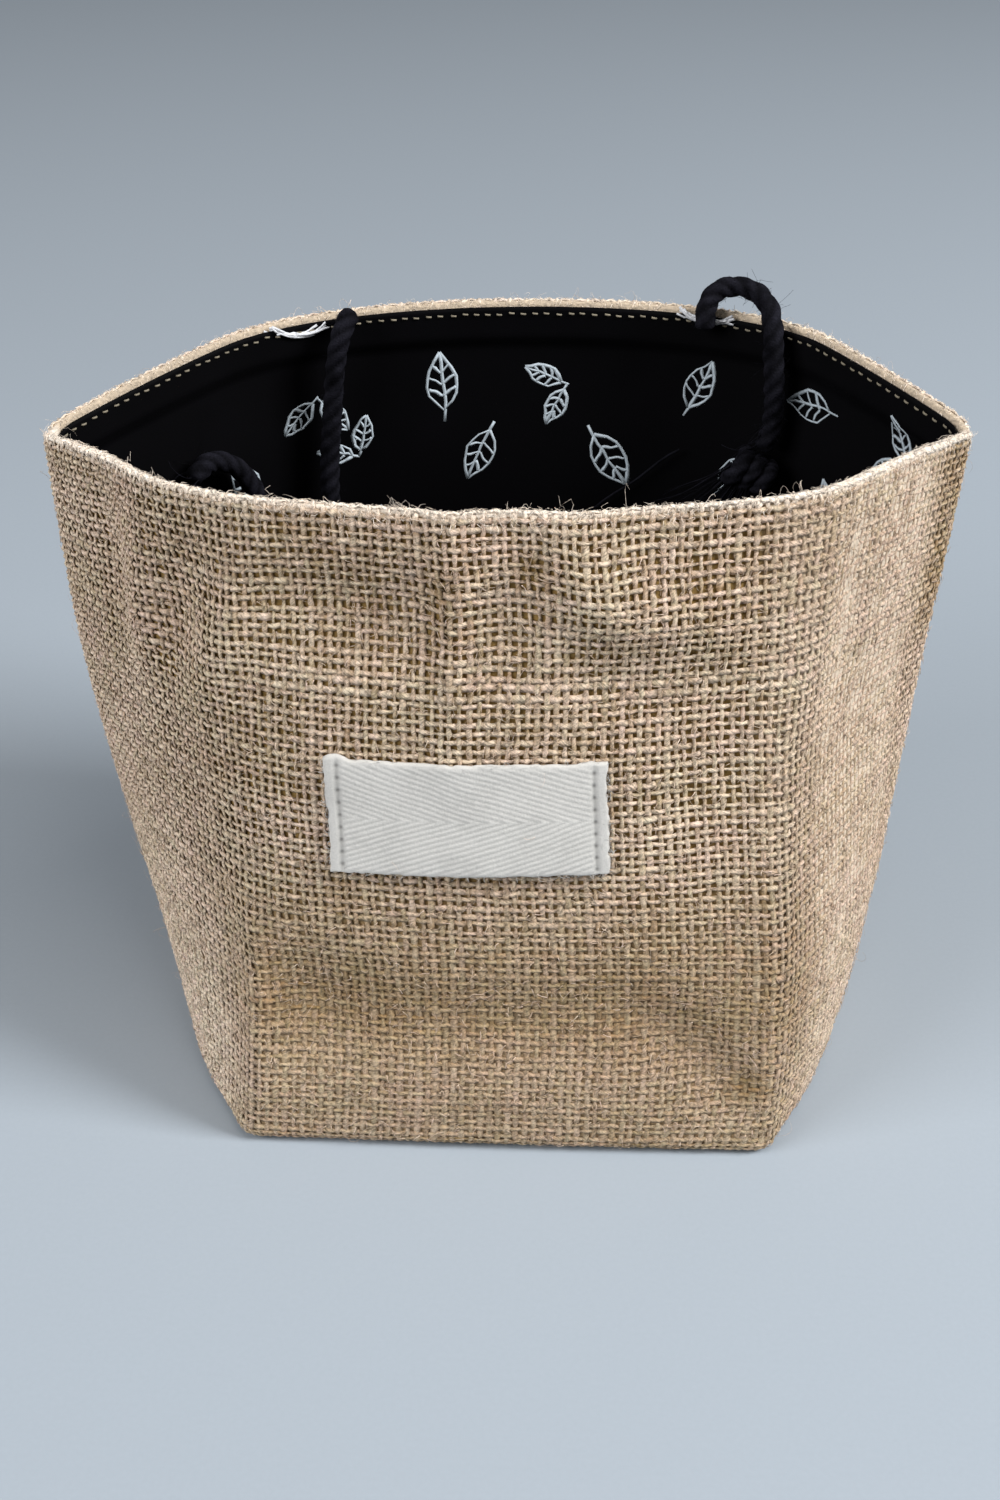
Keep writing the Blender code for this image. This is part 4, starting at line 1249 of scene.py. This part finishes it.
class MakeLining(bpy.types.Operator):
    """Makes the black cotton lining with its print and the topstitching under the rim."""

    bl_idname = "burlap_bag.make_lining"
    bl_label = "Make the lining"

    def execute(self, context):
        settings = context.scene.bag_lining
        cloth = finish_piece(self.cloth(), lining_material(settings), "lining", "cotton_lining")
        add_thickness(cloth, 0.4)
        made = (
            # mesh, then the finish's name, roughness, colour and noise
            (self.motifs(settings), "white_ink", 0.6, settings.ink, 1500.0, 3.0, 0.7, 0.6),
            (self.stitches(settings), "tan_thread", 0.6, settings.thread, 900.0, 2.0, 1.0, 0.5),
            (self.scraps(), "white_thread", 0.7, settings.scrap, 1800.0, 2.0, 1.2, 0.35),
        )
        pieces = [
            finish_piece(mesh, speckled_material(*finish), "lining") for mesh, *finish in made
        ]
        return {"FINISHED"}

    def cloth(self):
        """The cotton: rings of the lining's face from its top to the base."""
        top = RIM_HEIGHT - LINING_TOP
        rim, wall = np.linspace(top, top - 16, 17), np.linspace(top - 18, 6, 40)
        up = np.concatenate([rim, wall, (4.2, 3.2)])[:, None]
        place = np.linspace(0, 1, RING_STEPS + 1)[None, :-1]
        rings = [lining_point(WALLS[side], place, up)[0] for side in HALVES]
        rings = np.concatenate(rings, axis=1)
        rings[-1, :, 2] = 3.0
        mesh = closed_bag("lining_cotton", rings, (0.96, 0.8, 0.6, 0.4, 0.2, 0.08))
        mesh.flip_normals()
        return mesh

    def leaf(self):
        """One leaf of length one, as strokes: two bowed edges, the midrib and its veins."""
        t = np.linspace(0, 1, 8)
        bow = np.sin(np.pi * t**0.85)
        strokes = [(t - 0.5, 0.26 * bow), (t - 0.5, -0.26 * bow), (1.2 * t - 0.7, 0.03 * bow)]
        for start in (0.25, 0.45, 0.64):
            reach = 0.26 * np.sin(np.pi * (start + 0.14) ** 0.85)
            for way in (1, -1):
                strokes.append((start - 0.5 + 0.14 * t, way * reach * 0.92 * t))
        return np.array(strokes).transpose(0, 2, 1)

    def motifs(self, settings):
        """A print of plain line-drawn leaves in staggered rows, as flat ribbons of ink."""
        random = np.random.default_rng(12)
        gap, row = settings.motif / MM, settings.row / MM
        leaf = self.leaf()
        paths, sides, faces = [], [], []
        for side in HALVES:
            drawn = []
            for line, lane in np.ndindex(7, 8):
                across = gap * (lane + 0.5 + 0.33 * (line % 3)) + random.normal(0, 1.3)
                up = 12 + row * line + random.normal(0, 1.2)
                size = 14.5 * random.uniform(0.9, 1.1)
                angle = random.uniform(0, 2 * np.pi)
                twin = random.random() < 0.4
                motif = []
                for part in (-0.75, 0.75) if twin else (0.0,):
                    cos, sin = np.cos(angle + part), np.sin(angle + part)
                    shape = leaf * size * (0.72 if twin else 1.0) + (0.48 * size * twin, 0)
                    motif.append(shape @ np.array([(cos, sin), (-sin, cos)]) + (across, up))
                motif = np.concatenate(motif)
                motif = motif + 0.16 * np.sin(1.9 * motif[..., ::-1] + 5 * line + lane)
                (left, low), (right, high) = motif.min(axis=(0, 1)), motif.max(axis=(0, 1))
                if left > 2 and right < HALF_WIDTH - 2 and low > 5 and high < RIM_HEIGHT - 6:
                    drawn.append(motif)
            drawn = np.concatenate(drawn)
            point, _, _, outward = lining_point(
                WALLS[side], drawn[..., 0] / HALF_WIDTH, drawn[..., 1], 0.07
            )
            paths.append(point)
            sides.append(unit(np.cross(unit(np.gradient(point, axis=1)), outward)))
            faces.append(-outward)
        path, side, face = (np.concatenate(part) for part in (paths, sides, faces))
        strokes = np.arange(len(path))[:, None]
        brush = soft_noise(13, np.arange(path.shape[1])[None] / 2.2, 3.7 * strokes)
        width = settings.line / MM / 2 * random.uniform(0.75, 1.15, (len(path), 1))
        width = width * (1 + 0.35 * brush)
        return thread_mesh("lining_print", path, side, face, width, 0.05, sides=3, columns=12)

    def stitches(self, settings):
        """A row of short thread dashes under the rim: each an arch with its ends sunk in."""
        random = np.random.default_rng(8)
        count = int(HALF_WIDTH / (settings.stitch / MM))
        t = np.linspace(-1, 1, 7)[None]
        paths, sides, faces = [], [], []
        for side in HALVES:
            centre = (np.arange(count)[:, None] + 0.5) * HALF_WIDTH / count
            across = centre + random.normal(0, 0.12, (count, 1)) + t * 0.80
            up = RIM_HEIGHT - 3.2 + random.normal(0, 0.12, (count, 1)) + 0.1 * t
            point, _, upward, outward = lining_point(
                WALLS[side], across / HALF_WIDTH, up, 0.22 - 0.60 * t**4
            )
            paths.append(point)
            sides.append(upward)
            faces.append(-outward)
        path, side, face = (np.concatenate(part) for part in (paths, sides, faces))
        return thread_mesh("topstitch", path, side, face, 0.25, 0.22, sides=5, columns=4)

    def scraps(self):
        """The two ends of white thread by the ties: seven strands that turn round each route."""
        random = np.random.default_rng(15)
        t = np.linspace(0, 1, 13)
        paths = []
        for route in SCRAP_ROUTES:
            path = smooth_route(route, 0.5)
            at = np.linspace(0, len(path) - 1, len(t))
            middle = [np.interp(at, np.arange(len(path)), axis) for axis in path.T]
            middle = np.stack(middle, axis=1)
            for strand in range(7):
                turn = strand * 0.9 + 5.0 * t
                wide = (0.25 + 0.12 * strand % 0.4) * (0.8 + 1.2 * np.abs(2 * t - 1) ** 3)
                offset = np.stack([0 * turn, 0.4 * np.cos(turn), np.sin(turn)], axis=1)
                loose = random.normal(0, 0.10, (len(t), 3))
                shift = np.array((random.normal(0, 0.9), 0, 0))
                paths.append(middle + offset * wide[:, None] + loose + shift)
        width = random.uniform(0.20, 0.42, (len(paths), 1))
        return hair_mesh("thread_scraps", np.array(paths), width, 0.8, sides=5, columns=2)


class MakeLabel(bpy.types.Operator):
    """Makes the blank herringbone tape label with its turned and stitched ends."""

    bl_idname = "burlap_bag.make_label"
    bl_label = "Make the label"

    def execute(self, context):
        settings = context.scene.bag_label
        wide, high = settings.width / MM, settings.height / MM
        mesh = self.tape(wide, high, settings.ridge / MM)
        label = finish_piece(mesh, tape_material(settings), "tape", "tape_label")
        material, tree, shader = new_material("cotton_hair", 0.85, Specular_IOR_Level=0.2)
        paint(tree, shader, colour(settings.hair), read_tone(tree)[0])
        fuzz = finish_piece(self.fuzz(wide, high), material, "tape")
        return {"FINISHED"}

    def tape(self, wide, high, spacing):
        """The tape: a net whose height is its relief, closed by a skirt and a flat back.

        Twill ridges slant one way above the middle and the other way below it. The ends are
        folded under: a smooth raised band, then a groove with one dent for each stitch.
        """
        columns, rows = 208, 92
        x = np.linspace(-0.5, 0.5, columns + 1)[None] * wide
        y = np.linspace(-0.5, 0.5, rows + 1)[:, None] * high
        x, y = np.broadcast_arrays(x, y)
        end, edge = wide / 2 - np.abs(x), high / 2 - np.abs(y)
        bend = 0.25 * soft_noise(60, x / 7, y / 7)
        ridge = np.abs(np.sin(np.pi * (np.abs(y) + 0.34 * x + bend) / spacing)) ** 0.8
        ridge = ridge * (1 + 0.25 * soft_noise(59, x / 0.7, y / 0.7))
        woven = ramp(end, 2.9, 0.8) * ramp(edge, 0.5, 0.4)
        band = ramp(end, 2.2, -0.4)
        groove = np.exp(-(((end - 2.7) / 0.5) ** 2)) * ramp(edge, 0, 1.5)
        dots = groove * np.clip(np.cos(2 * np.pi * y / 2.7 + np.sign(x)), 0, 1) ** 2
        relief = 0.85 + 0.14 * ridge * woven + 0.16 * band - 0.22 * groove - 0.16 * dots
        relief = relief + 0.10 * soft_noise(61, x / 9, y / 9)
        height = 0.35 + (relief - 0.35) * rounded(end, 0.8) * rounded(edge, 0.45)
        # Painted shade: darker between the twill's ridges, in the end grooves and at the stitch
        # dents
        tone_and_painted_shade = 0.76 + 0.26 * ridge * woven + 0.16 * (1 - woven) - 0.20 * groove - 0.35 * dots
        tone_and_painted_shade = tone_and_painted_shade + 0.05 * soft_noise(65, x / 5, y / 5)
        tuft = np.exp(-(((x + wide / 2 - 2.4) / 2.3) ** 4)) + 0.5 * np.exp(-((x - 25.5) ** 2))
        wave_y = 0.18 * soft_noise(62, x / 1.3, np.sign(y)) + 0.85 * tuft * (y > 0)
        wave_y = wave_y * ramp(edge, 1, -1)
        wave_x = 0.20 * soft_noise(63, np.sign(x), y / 1.1) * ramp(end, 1, -1)
        wave_x = wave_x + 0.35 * soft_noise(64, np.sign(x), y / 6) * ramp(end, 4, -4)
        place = (x + wave_x + LABEL_ACROSS + HALF_WIDTH / 2) / HALF_WIDTH
        up = y * (1 - 0.0006 * x) + wave_y + LABEL_UP + LABEL_LEAN * x
        top = WALLS["front"].inside(place, up, LABEL_DEPTH - height)[0]
        low = WALLS["front"].inside(place, up, LABEL_DEPTH)[0]
        net = np.arange(x.size).reshape(x.shape)
        face = np.stack([net[:-1, :-1], net[:-1, 1:], net[1:, 1:], net[1:, :-1]], axis=-1)
        rim = np.concatenate([net[0, :-1], net[:-1, -1], net[-1, :0:-1], net[:0:-1, 0]])
        under = x.size + np.arange(len(rim))
        skirt = np.stack([under, np.roll(under, -1), np.roll(rim, -1), rim], axis=-1)
        first = under[1:columns]
        last = under[columns + rows + 1 : 2 * columns + rows][::-1]
        back = np.stack([first[:-1], last[:-1], last[1:], first[1:]], axis=-1)
        left = np.concatenate([under[:1], under[: 2 * columns + rows - 2 : -1], under[1:2]])
        right = np.append(under[columns - 1], under[columns + rows + 1 : columns - 1 : -1])
        mesh = new_mesh(
            "label_tape",
            np.vstack([top.reshape(-1, 3), low.reshape(-1, 3)[rim]]),
            np.vstack([face.reshape(-1, 4), skirt, back]),
            np.stack([left, right]),
        )
        tone_and_painted_shade = np.clip(tone_and_painted_shade.ravel(), 0, 1)
        set_tone(mesh, np.concatenate([tone_and_painted_shade, tone_and_painted_shade[rim]])[:, None])
        return mesh

    def fuzz(self, wide, high):
        """Short pale hairs round the tape's edges, half of them at its two ends."""
        random = np.random.default_rng(66)
        count, steps = 230, 5
        around = random.uniform(0, 1, count)
        ends = random.random(count) < 0.5
        way = random.choice((-1.0, 1.0), count)
        x = np.where(ends, way * wide / 2, (around - 0.5) * wide)
        y = np.where(ends, (around - 0.5) * high, way * high / 2)
        turn = random.normal(0, 0.9, count) + np.where(ends, 0, np.pi / 2) + np.pi * (way < 0)
        t = np.linspace(0, 1, steps)[None]
        turn = turn[:, None] + t * random.normal(0, 1.4, (count, 1))
        size = random.uniform(0.4, 1.7, (count, 1)) * t
        x = x[:, None] * 0.985 + size * np.cos(turn)
        y = y[:, None] * 0.97 + size * np.sin(turn)
        lift = -0.5 - random.uniform(0, 0.7, (count, 1)) * (0.4 + t)
        place = (x + LABEL_ACROSS + HALF_WIDTH / 2) / HALF_WIDTH
        path = WALLS["front"].inside(place, y + LABEL_UP + LABEL_LEAN * x, lift)[0]
        tones = spread(random.uniform(0.5, 1.0, (count, 1, 1)), steps)
        return hair_mesh("label_fuzz", path, 0.045, tones=tones)


class BagPanel(bpy.types.Panel):
    """Lists the bag's settings and operators."""

    bl_idname = "VIEW3D_PT_burlap_bag"
    bl_label = "Burlap Bag"
    bl_space_type = "VIEW_3D"
    bl_region_type = "UI"
    bl_category = "Burlap Bag"

    def draw(self, context):
        for name, _, operators in STEPS:
            box = self.layout.box()
            settings = getattr(context.scene, name)
            for prop in settings.bl_rna.properties:
                if prop.identifier not in ("rna_type", "name"):
                    box.prop(settings, prop.identifier)
            for operator in operators:
                box.operator(operator.bl_idname)


STEPS = (
    ("bag_stage", StageSettings, (SetStage,)),
    ("bag_ties", TieSettings, (MakeTies,)),
    ("bag_burlap", BurlapSettings, (WeaveWall, AddFibres)),
    ("bag_lining", LiningSettings, (MakeLining,)),
    ("bag_label", LabelSettings, (MakeLabel,)),
)
WALLS = {}


def register():
    """Registers the settings, the operators and the panel."""
    for name, group, operators in STEPS:
        bpy.utils.register_class(group)
        setattr(bpy.types.Scene, name, bpy.props.PointerProperty(type=group))
        for operator in operators:
            bpy.utils.register_class(operator)
    bpy.utils.register_class(BagPanel)


def unregister():
    """Takes them out again."""
    bpy.utils.unregister_class(BagPanel)
    for name, group, operators in reversed(STEPS):
        for operator in reversed(operators):
            bpy.utils.unregister_class(operator)
        delattr(bpy.types.Scene, name)
        bpy.utils.unregister_class(group)


def main():
    """Makes the bag piece by piece."""
    register()
    WALLS.update({side: Wall(side) for side in HALVES})
    bpy.ops.burlap_bag.set_stage()
    bpy.ops.burlap_bag.make_ties()
    bpy.ops.burlap_bag.weave_wall()
    bpy.ops.burlap_bag.add_fibres()
    bpy.ops.burlap_bag.make_lining()
    bpy.ops.burlap_bag.make_label()


if __name__ == "__main__":
    main()
